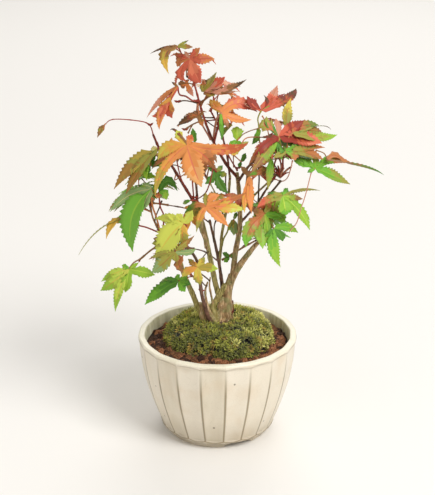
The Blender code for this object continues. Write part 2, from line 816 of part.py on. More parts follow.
def rule_leaf(shoot, index, count, rng):
    """A leaf placed by rule: nodes climb the shoot, and each turns by the golden angle."""
    climb = FIRST_NODE + (1 - FIRST_NODE) * (index + 1) / count
    node = shoot[round(climb * (len(shoot) - 1))]
    axis = (shoot[-1] - shoot[0]).normalized()
    turn = index * GOLDEN_ANGLE + rng.uniform(-ANGLE_SPREAD, ANGLE_SPREAD)
    side = Matrix.Rotation(turn, 3, axis) @ axis.orthogonal().normalized()
    out = (axis * rng.uniform(0.5, 1.0) + side).normalized()
    out.z = max(out.z, -0.1)
    heart = node + out * rng.uniform(*RULE_REACH)
    flat = Vector((out.x, out.y, 0)) + Vector((axis.x, axis.y, 0)) * 0.6
    aim = (flat.normalized() - Vector((0, 0, rng.uniform(*RULE_DROOP)))).normalized()
    tip = heart + aim * rng.uniform(*RULE_SPAN)
    return Leaf(tuple(heart), tuple(tip), rng.uniform(*RULE_LEAN))


def place_leaf(spray, leaf, shoot, seed, space):
    """Finds a clear place for a leaf, sliding it fore and aft; returns its shapes, or None."""
    for slide, tilt in itertools.product(SLIDES, TILTS):
        shift = (Vector(leaf.heart) - Vector(VIEWER)).normalized() * slide
        heart = Vector(leaf.heart) + shift
        tip = Vector(leaf.tip) + shift
        if (heart - shoot[-1]).length > spray.reach:
            continue
        points, faces, frame = leaf_surface(heart, tip, leaf.lean + tilt, seed)
        if not space.shell_clear(*shell_around(points, faces, frame, LEAF_THICKNESS / 2 + CLEAR)):
            continue
        for back, sag in itertools.product(NODE_STEPS, SAGS):
            node = nearest_node(shoot, heart, back) + Vector(NODE_JITTER) * (seed % 7 - 3)
            stalk = stalk_route(node, heart, frame, (tip - heart).length, sag)
            if space.route_clear(spray.name, stalk, STALK_RADIUS):
                return points, faces, stalk
    return None


def leaf_object(name, points, faces, collection):
    """A leaf as an open surface with Solidify."""
    mesh = bpy.data.meshes.new(name)
    mesh.from_pydata([point * MM for point in points], [], faces)
    obj = bpy.data.objects.new(name, mesh)
    collection.objects.link(obj)
    wall = obj.modifiers.new("thickness", "SOLIDIFY")
    wall.thickness = LEAF_THICKNESS * MM
    wall.offset = 0.0
    return as_mesh_object(obj, collection)


def saddle_cut(obj, parent, helpers):
    """Cuts a limb's start to the shape of the limb that it grows from, with a gap all round."""
    points, radii = parent
    ahead = (points[-1] - points[-2]).normalized() * CLEAR
    longer = [*points[:-1], points[-1] + ahead]
    grown = tube("grown_parent", longer, [radius + CLEAR for radius in radii], 6, helpers)
    grown = as_mesh_object(grown, helpers)
    cut = obj.modifiers.new("saddle", "BOOLEAN")
    cut.object = grown
    cut.operation = "DIFFERENCE"
    mesh = evaluated_mesh(obj)
    obj.modifiers.remove(cut)
    obj.data = mesh
    bpy.data.objects.remove(grown, do_unlink=True)
    keep_largest(mesh)


def join_all(base, members):
    """Fuses every object of a collection with the base by one Boolean union, and removes them."""
    join = base.modifiers.new("join", "BOOLEAN")
    join.operand_type = "COLLECTION"
    join.collection = members
    join.operation = "UNION"
    mesh = evaluated_mesh(base)
    base.modifiers.remove(join)
    base.data = mesh
    for obj in list(members.objects):
        bpy.data.objects.remove(obj, do_unlink=True)


def keep_largest(mesh):
    """Drops every loose scrap and sealed hollow, so that the mesh is one outer skin."""
    work = bmesh.new()
    work.from_mesh(mesh)
    left = set(work.faces)
    groups = []
    while left:
        front = [left.pop()]
        group = list(front)
        while front:
            face = front.pop()
            for edge in face.edges:
                for other in edge.link_faces:
                    if other in left:
                        left.remove(other)
                        front.append(other)
                        group.append(other)
        groups.append(group)
    groups.sort(key=len)
    scraps = [face for group in groups[:-1] for face in group]
    if scraps:
        bmesh.ops.delete(work, geom=scraps, context="FACES")
    loose = [vertex for vertex in work.verts if not vertex.link_faces]
    bmesh.ops.delete(work, geom=loose, context="VERTS")
    bmesh.ops.triangulate(work, faces=work.faces)
    work.to_mesh(mesh)
    work.free()


def split_stem(stem):
    """A stem's route parted at the clump's cut: points and radii of the stub below and the stem above."""
    points = smooth_route(stem.route, LIMB_STEP)
    index = next(i for i, point in enumerate(points) if point.z > CUT_HEIGHT)
    below, above = points[index - 1], points[index]
    cut = below.lerp(above, (CUT_HEIGHT - below.z) / (above.z - below.z))
    radius = stem.radius[0] + (stem.radius[1] - stem.radius[0]) * index / len(points)
    lead = (above - below).normalized() * CUT_LEAD
    gap = lead.normalized() * CLEAR
    under = [point for point in points[:index] if (point - cut).length > 2 * CUT_LEAD]
    over = [point for point in points[index:] if (point - cut).length > 2 * CUT_LEAD]
    stub = [*under, cut - lead, cut]
    rest = [cut + gap, cut + gap + lead, *over]
    below_radii = tapered(len(stub), (stem.radius[0], radius))
    above_radii = tapered(len(rest), (radius, stem.radius[1]))
    return stub, below_radii, rest, above_radii


def build_trunk(collection, bark):
    """The foot of the clump: a ridged root flare with a stub of each stem fused on."""
    bpy.ops.mesh.primitive_cone_add(vertices=CLUMP_SIDES, radius1=CLUMP_RADIUS * MM,
                                    radius2=CLUMP_TOP_RADIUS * MM, depth=CLUMP_HEIGHT * MM)
    trunk = bpy.context.object
    trunk.name = "trunk"
    adopt(trunk, collection)
    base = SOIL_TOP_HEIGHT + CLEAR
    trunk.data.transform(Matrix.Translation((0, 0, (base + CLUMP_HEIGHT / 2) * MM)))
    work = bmesh.new()
    work.from_mesh(trunk.data)
    sides = [edge for edge in work.edges if abs(edge.verts[0].co.z - edge.verts[1].co.z) > MM]
    bmesh.ops.subdivide_edges(work, edges=sides, cuts=CLUMP_ROWS - 1, use_grid_fill=False)
    for vertex in work.verts:
        x, y, z = vertex.co / MM
        rise = (z - base) / CLUMP_HEIGHT
        ridge = math.cos(ROOT_RIDGES * math.atan2(y, x) + ROOT_RIDGE_TURN + rise)
        wave = 1 + ROOT_RIDGE_DEPTH * ridge * (1 - 0.5 * rise)
        scale = clump_radius(z - CLEAR) * wave / math.hypot(x, y)
        vertex.co.x = x * scale * MM
        vertex.co.y = y * scale * CLUMP_DEPTH_SHARE * MM
    work.to_mesh(trunk.data)
    work.free()
    trunk.data.transform(Matrix.Translation(mm((CLUMP_X, CLUMP_Y, 0))))
    stubs = new_collection("stubs", helper=True)
    for stem in STEMS:
        stub, radii, _, _ = split_stem(stem)
        as_mesh_object(tube(stem.name + "_stub", stub, radii, 8, stubs), stubs)
    join_all(trunk, stubs)
    bpy.data.collections.remove(stubs)
    keep_largest(trunk.data)
    trunk.data.materials.clear()
    trunk.data.materials.append(bark)
    return trunk


def build_limbs(collection, helpers, bark, space):
    """Every stem and bough, each clear of the one that it grows from; returns their routes."""
    routes = {}
    for stem in STEMS:
        _, _, points, radii = split_stem(stem)
        routes[stem.name] = (points, radii)
        limb = as_mesh_object(tube(stem.name, points, radii, 6, collection), collection)
        limb.data.materials.append(bark)
        space.add(stem.name, limb.data)
    for bough in BOUGHS:
        points = smooth_route(bough.route, LIMB_STEP)
        routes[bough.name] = (points, tapered(len(points), bough.radius))
        limb = as_mesh_object(tube(bough.name, *routes[bough.name], 6, collection), collection)
        saddle_cut(limb, routes[bough.parent], helpers)
        limb.data.materials.append(bark)
        space.add(bough.name, limb.data)
    return routes


def build_spray(spray, order, parent, collection, space):
    """One mass of foliage: its shoot, the stalks that branch from it, and their leaves."""
    members = new_collection(spray.name + "_members", helper=True)
    points = smooth_route(spray.route, TWIG_STEP)
    radii = tapered(len(points), (SHOOT_RADIUS, STALK_RADIUS))
    shoot = as_mesh_object(tube(spray.name, points, radii, 6, collection), collection)
    saddle_cut(shoot, parent, members)
    space.add(spray.name, shoot.data)
    nodes = nodes_along(points, NODE_STEP)
    rng = random.Random(1000 + order)
    leaves = list(spray.leaves) + [rule_leaf(nodes, i, spray.fill, rng) for i in range(spray.fill)]
    for index, leaf in enumerate(leaves):
        found = place_leaf(spray, leaf, nodes, 100 * order + index, space)
        if found is None:
            continue
        surface, faces, stalk = found
        blade = leaf_object(f"leaf_{index + 1}", surface, faces, members)
        space.add(spray.name, blade.data)
        stem = tube(f"stalk_{index + 1}", stalk, [STALK_RADIUS] * len(stalk), 4, members)
        space.add(spray.name, as_mesh_object(stem, members).data)
    join_all(shoot, members)
    bpy.data.collections.remove(members)
    keep_largest(shoot.data)
    shoot.data.materials.clear()
    shoot.data.materials.append(material(spray.name + "_leaf", spray.tint, 0.5))
    return shoot


def set_on_origin(collection):
    """Hangs every piece on one empty that puts the middle of the box's underside at the origin."""
    bpy.context.view_layer.update()
    corners = [obj.matrix_world @ Vector(corner) for obj in collection.objects for corner in obj.bound_box]
    middle = [(min(c[i] for c in corners) + max(c[i] for c in corners)) / 2 for i in (0, 1)]
    frame = bpy.data.objects.new("plant_frame", None)
    collection.objects.link(frame)
    for obj in collection.objects:
        if obj is not frame:
            obj.parent = frame
    frame.location = (-middle[0], -middle[1], 0.0)


def main():
    """Builds the bonsai."""
    clear_scene()
    collection = new_collection(COLLECTION)
    cutters = new_collection("cutters", helper=True)
    bark = material("smooth_grey_green_bark", (0.22, 0.16, 0.08), 0.7)
    space = Space()
    build_pot(collection, cutters)
    build_soil(collection)
    moss = build_moss(collection)
    space.add("moss", moss.data)
    trunk = build_trunk(collection, bark)
    space.add("trunk", trunk.data)
    routes = build_limbs(collection, cutters, bark, space)
    for order, spray in enumerate(SPRAYS):
        build_spray(spray, order, routes[spray.parent], collection, space)
    set_on_origin(collection)


main()
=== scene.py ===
"""Japanese maple bonsai in autumn colour, in its fluted pot: the looks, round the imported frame.

Sizes and places are millimetres about the pot's axis, up from its foot, with the viewer's side at
-Y. Only the finished meshes are in metres, where the frame has the plant.
"""

import logging
import math
import random
from dataclasses import dataclass, field
from enum import Enum
from functools import lru_cache

import bpy
import numpy as np
from bpy.types import Material, Mesh, Node, NodeSocket, NodeTree, Object
from mathutils import Matrix, Vector, noise
from mathutils.kdtree import KDTree

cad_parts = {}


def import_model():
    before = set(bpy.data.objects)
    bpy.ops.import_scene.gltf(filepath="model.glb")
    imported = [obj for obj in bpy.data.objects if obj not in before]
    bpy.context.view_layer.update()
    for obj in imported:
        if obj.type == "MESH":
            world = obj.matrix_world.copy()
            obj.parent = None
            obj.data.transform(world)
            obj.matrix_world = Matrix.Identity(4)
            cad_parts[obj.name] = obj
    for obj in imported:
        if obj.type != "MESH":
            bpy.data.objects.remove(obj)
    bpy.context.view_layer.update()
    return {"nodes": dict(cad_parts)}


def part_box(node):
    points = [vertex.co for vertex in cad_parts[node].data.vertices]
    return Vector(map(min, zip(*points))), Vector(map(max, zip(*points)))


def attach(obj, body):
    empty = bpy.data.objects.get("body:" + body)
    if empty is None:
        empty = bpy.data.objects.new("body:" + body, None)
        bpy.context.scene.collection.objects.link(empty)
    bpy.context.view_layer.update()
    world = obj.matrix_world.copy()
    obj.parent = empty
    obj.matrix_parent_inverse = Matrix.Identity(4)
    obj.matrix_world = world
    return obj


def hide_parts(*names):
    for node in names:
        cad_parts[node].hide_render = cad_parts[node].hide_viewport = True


MM = 0.001
BODY = "root"
GOLDEN = math.radians(137.5)
PLACE = "place:Object"
LOG = logging.getLogger("bonsai")

Pair = tuple[float, float]
Point = tuple[float, float, float]


class Tint(Enum):
    """The colours that the leaves, stalks and buds are dealt, as sRGB."""

    RED = "CC6046"
    SCARLET = "DE7A58"
    CRIMSON = "963626"
    MAROON = "7C3A2A"
    PINK = "C98A70"
    SALMON = "D89A72"
    CORAL = "D36A3C"
    BRICK = "BB5732"
    ORANGE = "E4924E"
    APRICOT = "E8A868"
    AMBER = "DB9B44"
    RUST = "BE7744"
    COPPER = "9A5D2F"
    BROWN = "966A40"
    UMBER = "5C4226"
    BRONZE = "A27A35"
    GOLD = "D6AC44"
    STRAW = "CFBD4C"
    HAY = "B59E3F"
    YELLOW = "C8CE54"
    PALE = "C9C080"
    CHARTREUSE = "B8CE4B"
    LIME = "94BA34"
    PEA = "9EB03B"
    OLIVE = "9C983F"
    LEAF = "8CB938"
    FERN = "8CA53C"
    GREEN = "70AC31"
    DUSK = "718430"
    MEADOW = "649A2D"
    DEEP = "508526"
    SAGE = "678843"
    GREYGREEN = "8EA868"


(RED, SCARLET, CRIMSON, MAROON, PINK, SALMON, CORAL, BRICK, ORANGE, APRICOT, AMBER, RUST, COPPER, BROWN,
 UMBER, BRONZE, GOLD, STRAW, HAY, YELLOW, PALE, CHARTREUSE, LIME, PEA, OLIVE, LEAF, FERN, GREEN, DUSK,
 MEADOW, DEEP, SAGE, GREYGREEN) = Tint
PALETTE = list(Tint)


VEINS = {
    RED: CRIMSON, SCARLET: PINK, CRIMSON: UMBER, PINK: APRICOT, ORANGE: RED, APRICOT: PINK, RUST: CRIMSON,
    BROWN: RUST, UMBER: BROWN, GOLD: RUST, YELLOW: GOLD, PALE: GOLD, LIME: YELLOW, OLIVE: RUST,
    GREEN: LIME, DEEP: GREEN, GREYGREEN: PALE, LEAF: YELLOW, HAY: BRONZE, AMBER: CORAL, STRAW: AMBER,
    BRONZE: RUST,
}


class Hue(Enum):
    """The pieces that the leaves are joined into, each by its name."""

    RED = "red_leaves"
    ORANGE = "orange_leaves"
    GOLD = "gold_leaves"
    GREEN = "green_leaves"


class Bark(Enum):
    """The kinds of bark, as sRGB: tones of its lines and painted shade, its skin, its pores, its blotches."""

    OLIVE = ("5E5320", "AC9F5A", "E0D69C", "9A8850")
    DARK = ("3A241A", "6C4C3C", "AE846C", "88604E")
    TAN = ("62482A", "BC986A", "F0DAB2", "90905A")
    RED = ("461812", "7C3022", "A8604A", "5E2E20")


RULE_TINTS = {
    Hue.RED: ((RED, SCARLET), (SALMON, RED), (RUST, RED), (OLIVE, RED)),
    Hue.ORANGE: ((ORANGE, RED), (GOLD, ORANGE), (RUST, BROWN), (OLIVE, ORANGE)),
    Hue.GOLD: ((YELLOW, GOLD), (GOLD, ORANGE), (LIME, YELLOW), (OLIVE, RUST)),
    Hue.GREEN: ((GREEN, LIME), (DEEP, GREEN), (GREEN, OLIVE), (DEEP, RUST)),
}


@dataclass(frozen=True)
class Lobe:
    """A lobe as the viewer sees it: its tip right of and above the leaf's heart, its full width, its
    colours at the base and the tip, the middle of its rib where that bows, and its roll in degrees."""

    right: float
    up: float
    width: float
    base: Tint
    end: Tint
    via: Pair | None = None
    roll: float = 0.0


@dataclass(frozen=True)
class Leaf:
    """A leaf: its heart, how far its face leans to the viewer, from 0 flat to 1 upright, and its lobes."""

    heart: Point
    lean: float
    hue: Hue
    lobes: tuple[Lobe, ...]


@dataclass(frozen=True)
class Limb:
    """A stem or bough: its bark, its route and its radius at each end."""

    name: str
    bark: Bark
    route: tuple[Point, ...]
    radius: Pair


@dataclass(frozen=True)
class Spray:
    """A mass of foliage: its hue, its shoot and how slim that is, and how many leafy side twigs it has."""

    name: str
    hue: Hue
    shoot: tuple[Point, ...]
    twigs: int
    slim: float = 1.0


@dataclass(frozen=True)
class Stalk:
    """A leaf stalk or side twig that the photograph shows, from its leaf down to its node."""

    route: tuple[Point, ...]
    radius: float = 0.42
    tint: Tint = CRIMSON


LIMBS = (
    Limb("stem_left", Bark.OLIVE, ((-2, 1, 63), (-6.6, 2, 75), (-11.4, 0, 80),
        (-15, -3, 91), (-20.9, -7, 108), (-25, -11, 124), (-33.4, -14, 136)), (2.1, 1.15)),
    Limb("stem_front", Bark.DARK, ((-1, -1, 63), (-4.6, -2.8, 73), (-7.2, -4.6, 82),
        (-10, -8, 96), (-12.2, -10, 116), (-18.2, -7, 125)), (1.5, 0.85)),
    Limb("stem_middle", Bark.OLIVE, ((2.5, 3, 66), (2.2, 3, 83), (0.2, 3.2, 91), (-1.6, 3.6, 98),
        (-3.1, 4, 106), (-6.6, 2, 125), (-9.2, 0, 138), (-14, -3.5, 153.5)), (2.0, 1.2)),
    Limb("stem_back_left", Bark.DARK, ((1.5, 5, 63), (3, 8.5, 79),
        (2.8, 9, 93), (0.2, 11, 112), (-5, 12, 136)), (1.5, 0.75)),
    Limb("stem_back_right", Bark.OLIVE, ((4, 6, 63), (4.4, 9, 79), (3.2, 9.6, 93), (1.2, 10.8, 107),
        (2.2, 11.2, 118), (2.9, 11, 128), (6.4, 12, 148), (7.7, 12, 165)), (1.2, 0.8)),
    Limb("stem_right", Bark.TAN, ((4.5, 3, 63), (7.4, 4.6, 76), (6.9, 3.4, 91), (9.6, 2, 104),
        (11, 3, 117), (13.8, 5.4, 135), (13.1, 8, 156), (11.8, 8, 168)), (2.3, 1.2)),
    Limb("bough_far_right", Bark.TAN, ((8.4, 2.4, 99), (12.9, 0, 109),
        (21.2, -6, 123.5), (24.4, -9, 128.6)), (2.4, 1.35)),
    Limb("bough_leader", Bark.RED, ((12.2, 8, 165), (5.6, 6, 173.5),
        (-2.4, 2, 189), (-7.2, -1.5, 202)), (1.0, 0.75)),
    Limb("bough_upper_right", Bark.DARK, ((12.5, 8, 162), (18.7, 4, 173), (23.6, 0.5, 179)), (0.9, 0.7)),
    Limb("bough_bud", Bark.DARK, ((13.9, 5.6, 136), (23.4, 4, 148.2),
        (30.7, 0, 161.8), (34, -3, 168)), (0.8, 0.6)),
    Limb("bough_left", Bark.RED, ((-12.6, -2.4, 149.5), (-26.9, -6, 175.9),
        (-33.8, -8, 186.7), (-38, -9.2, 197)), (1.0, 0.7)),
    Limb("bough_centre", Bark.DARK, ((-12, -2, 147), (-12.5, -10, 163), (-13.5, -17, 177)), (0.85, 0.65)),
    Limb("bough_back_left", Bark.DARK, ((-4.6, 12, 134), (-18, 20, 140), (-32, 26, 141)), (0.5, 0.42)),
    Limb("bough_back_low", Bark.DARK, ((0.2, 11, 109), (-8, 19, 112), (-16, 25, 112)), (0.5, 0.42)),
    Limb("bough_back_middle", Bark.OLIVE, ((4, 11.4, 138), (0, 19, 148), (-5, 26, 156)), (0.55, 0.45)),
    Limb("bough_back_top", Bark.RED, ((7.6, 12, 163), (6, 16, 176), (3, 19, 188)), (0.7, 0.6)),
    Limb("bough_back_right", Bark.TAN, ((13.6, 6.9, 145), (24, 16, 152), (34, 23, 159)), (0.85, 0.6)),
)

# The clump's foot: its buttresses, the stems that cross there, the stubs of two dead ones, and the
# scarred joint halfway up a stem
FOOT = (
    Limb("right_buttress", Bark.TAN, ((6.4, 3, 62), (7, 3, 72), (6.6, 3, 80),
        (6.2, 3, 88), (7.2, 3, 95), (9.2, 2.4, 103)), (3.3, 2.5)),
    Limb("middle_buttress", Bark.TAN, ((1, 1.6, 62),
        (1.4, 1.8, 72), (2, 2.4, 80), (3.4, 3, 88)), (3.6, 2.0)),
    Limb("crossing_stem", Bark.OLIVE, ((2.4, 0.6, 66), (-1.0, 0, 75),
        (-2.9, 0.2, 82), (-1.2, 1, 86), (2.2, 1.6, 91.5), (5, 2, 97)), (1.8, 1.7)),
    Limb("left_buttress", Bark.TAN, ((-6.4, 0.4, 62), (-7.6, 0.6, 70),
        (-9.4, 0.4, 78), (-12, 0, 84.5)), (3.2, 2.2)),
    Limb("left_root", Bark.DARK, ((-9, 0, 65), (-5, -1, 67.5), (-1, -0.6, 69.5), (3, 0, 70)), (2.4, 2.2)),
    Limb("pale_stem", Bark.TAN, ((-1.2, -1.4, 72), (-4.6, -3.2, 80),
        (-6.6, -4, 86.5), (-7.6, -4.6, 95), (-6, -4, 101)), (1.1, 0.6)),
    Limb("pink_stem", Bark.TAN, ((-2.6, 0, 82), (-3.8, -1, 90),
        (-5, -1.6, 97), (-4.4, -1, 103)), (0.8, 0.5)),
    Limb("dead_stub", Bark.RED, ((8.2, 2, 74), (9.8, 0.2, 80), (9.5, -0.4, 87)), (0.55, 0.35)),
    Limb("white_stub", Bark.TAN, ((-1.6, -3.6, 73), (-3.2, -3.8, 76), (-4.2, -4, 78)), (0.7, 0.4)),
    Limb("scarred_joint", Bark.TAN, ((-6.6, 2.2, 121), (-7.5, 1.4, 128),
        (-9.4, 0.2, 134), (-10.8, -1, 140), (-12.4, -2.2, 146)), (1.4, 2.0)),
)

SPRAYS = (
    Spray("foliage_top", Hue.RED, ((-6.8, -1.2, 201),
        (-10, -3, 212), (-13, -4.5, 224), (-16.6, -6, 235.8)), 6),
    Spray("foliage_upper_middle", Hue.ORANGE, ((-2.2, 2.1, 188.3), (-0.4, 0.5, 196), (1.2, -3, 205)), 6),
    Spray("foliage_upper_right", Hue.RED, ((23, 1, 178), (27, -2, 187), (31, -5, 195)), 9),
    Spray("foliage_right", Hue.GREEN, ((21.5, 2, 176.6), (29, -6, 181), (36, -12, 185), (42, -14, 186)), 6),
    Spray("foliage_right_low", Hue.GREEN, ((24, -8.6, 127.7), (29, -11, 138), (33, -12, 147)), 10),
    Spray("foliage_middle_right", Hue.ORANGE, ((13.4, 7.4, 150), (16, -1, 158), (18, -11, 166)), 6),
    Spray("foliage_middle", Hue.ORANGE, ((-10.6, -1, 143), (-7.5, -9, 149), (-7, -18, 154)), 5),
    Spray("foliage_centre", Hue.ORANGE, ((-13.4, -16.4, 176), (-15, -22, 186), (-16, -27, 193)), 6),
    Spray("foliage_left_upper", Hue.GREEN, ((-33.4, -7.8, 186), (-37, -11, 184), (-40, -14, 182)), 5),
    Spray("foliage_left_shoot", Hue.RED, ((-37.6, -9, 196), (-40.2, -10, 203.2),
        (-48, -11, 205.8), (-61.3, -12, 206.7), (-66.2, -13, 203.4)), 0, 0.55),
    Spray("foliage_left", Hue.GREEN, ((-32.6, -13.6, 135), (-38, -17, 146), (-40, -19, 156)), 6),
    Spray("foliage_left_low", Hue.GREEN, ((-29.4, -12.6, 131), (-39, -15, 127), (-47, -18, 121)), 3),
    Spray("foliage_left_inner", Hue.GOLD, ((-17.6, -7.4, 124), (-20.5, -15, 133), (-20, -23, 141)), 5),
    Spray("foliage_front_low", Hue.GREEN, ((-11.4, -9.6, 106), (-14, -16, 109), (-16, -22, 113)), 0),
    Spray("foliage_bud", Hue.RED, ((33.6, -2.6, 167), (35.4, -3.6, 170.5), (36.8, -4, 173)), 0),
    Spray("foliage_back_left", Hue.GREEN, ((-31, 25.7, 141), (-40, 29, 141), (-47, 31, 139)), 14),
    Spray("foliage_back_low", Hue.GREEN, ((-15, 24.6, 112), (-22, 30, 111), (-28, 34, 108)), 12),
    Spray("foliage_back_middle", Hue.GOLD, ((-4.6, 25.3, 155), (-9, 31, 161), (-12, 36, 165)), 18),
    Spray("foliage_back_top", Hue.ORANGE, ((3.2, 18.8, 187), (0, 21, 195), (-4, 24, 202)), 16),
    Spray("foliage_back_right", Hue.GREEN, ((33, 22.4, 158.4), (37, 25.4, 161), (41, 27.6, 164)), 16, 0.8),
    Spray("foliage_back_under", Hue.GREEN, ((2.8, 12.4, 109),
        (14, 18, 114), (24, 23, 118), (32, 27, 121)), 12),
)

# Leaves of the crown's top
TOP_LEAVES = (
    Leaf((-23, -8, 249), 0.45, Hue.ORANGE, (
        Lobe(-16, -4.5, 1.5, BROWN, UMBER, (-8, -1), 60), Lobe(-5, 0.5, 1.5, BROWN, BROWN, roll=50),
        Lobe(-5, -16, 5.5, BROWN, GOLD, (-7, -5)), Lobe(6.5, 3.5, 1.5, OLIVE, UMBER, roll=50),
        Lobe(9, -0.5, 3, OLIVE, BROWN, roll=30),
    )),
    Leaf((-16, -10, 242), 0.8, Hue.RED, (
        Lobe(6, 6.5, 4, RED, RUST), Lobe(14.5, 0, 6, RED, ORANGE), Lobe(-9, 2.5, 3.5, RED, RUST),
        Lobe(-7, -4.5, 5, RUST, RUST, (-5, -1)), Lobe(-2, -13, 5, RED, RED, (-5, -7.5)),
        Lobe(6.5, -14, 8.5, SCARLET, RED, (3, -7.5)), Lobe(-3, 4.5, 2.5, PINK, PINK),
    )),
    Leaf((-8, -4, 221), 0.4, Hue.RED, (
        Lobe(7, 11.5, 4.5, OLIVE, OLIVE, (4.5, 7), 20), Lobe(12.5, 9, 6.5, PINK, RED, (6.5, 3.5)),
        Lobe(25, 7.5, 4, PINK, UMBER, (13.5, 1.5)), Lobe(20.5, 0.5, 3.5, PINK, RUST, (11, 0)),
        Lobe(-0.5, 6.5, 4, OLIVE, RUST), Lobe(6.5, -2, 4, BROWN, OLIVE),
    )),
    Leaf((-23, -14, 227), 0.7, Hue.RED, (
        Lobe(-18, -18.5, 3, RUST, PINK, (-10, -8), 35), Lobe(-3, -18.5, 9, GOLD, RED, (-5, -9.5)),
        Lobe(-10.5, -25, 5, RED, ORANGE, (-8.5, -14)), Lobe(-15, -17, 3.5, RED, RED, (-9, -14)),
        Lobe(-3.5, 2.5, 1.5, BROWN, UMBER),
    )),
    Leaf((-18.5, -4, 226), 0.4, Hue.ORANGE, (
        Lobe(4.5, -7.5, 3.5, ORANGE, PINK), Lobe(-4.5, 0.5, 3, BROWN, BROWN),
        Lobe(1, 2.5, 2.5, ORANGE, RUST), Lobe(-2.5, -2.5, 3, ORANGE, BROWN),
    )),
    Leaf((-11, -7, 208), 0.4, Hue.ORANGE, (
        Lobe(-13, -6.5, 4, BROWN, UMBER, (-6, -2.5)), Lobe(-3, 2.5, 2.5, BROWN, BROWN),
        Lobe(2.5, -7, 3.5, BROWN, RUST), Lobe(-7, -1, 2.5, RUST, BROWN), Lobe(3, 1, 2.5, BROWN, BROWN),
    )),
    Leaf((2.5, -6, 209), 0.5, Hue.ORANGE, (
        Lobe(-7, 8, 5.5, ORANGE, GOLD), Lobe(-8, 5, 2, GOLD, BROWN),
        Lobe(21, 0.5, 7.5, ORANGE, RED, (9.5, 5.5)), Lobe(17.5, -4, 4.5, ORANGE, ORANGE, (8, -3.5)),
        Lobe(4, -9, 3.5, ORANGE, BROWN), Lobe(0, -16, 3, GREEN, DEEP, (-0.5, -9), 40),
    )),
    Leaf((11.5, -4, 191.5), 0.8, Hue.GREEN, (
        Lobe(0, 8.5, 7, LIME, LIME), Lobe(-5, -3, 3.5, GREEN, LIME), Lobe(4, -5, 3.5, GREEN, GREEN),
    )),
    Leaf((8.5, 4, 199.5), 0.3, Hue.GREEN, (
        Lobe(-6.5, -9, 2.5, OLIVE, DEEP, (-3.5, -3.5), 45),
    )),
)

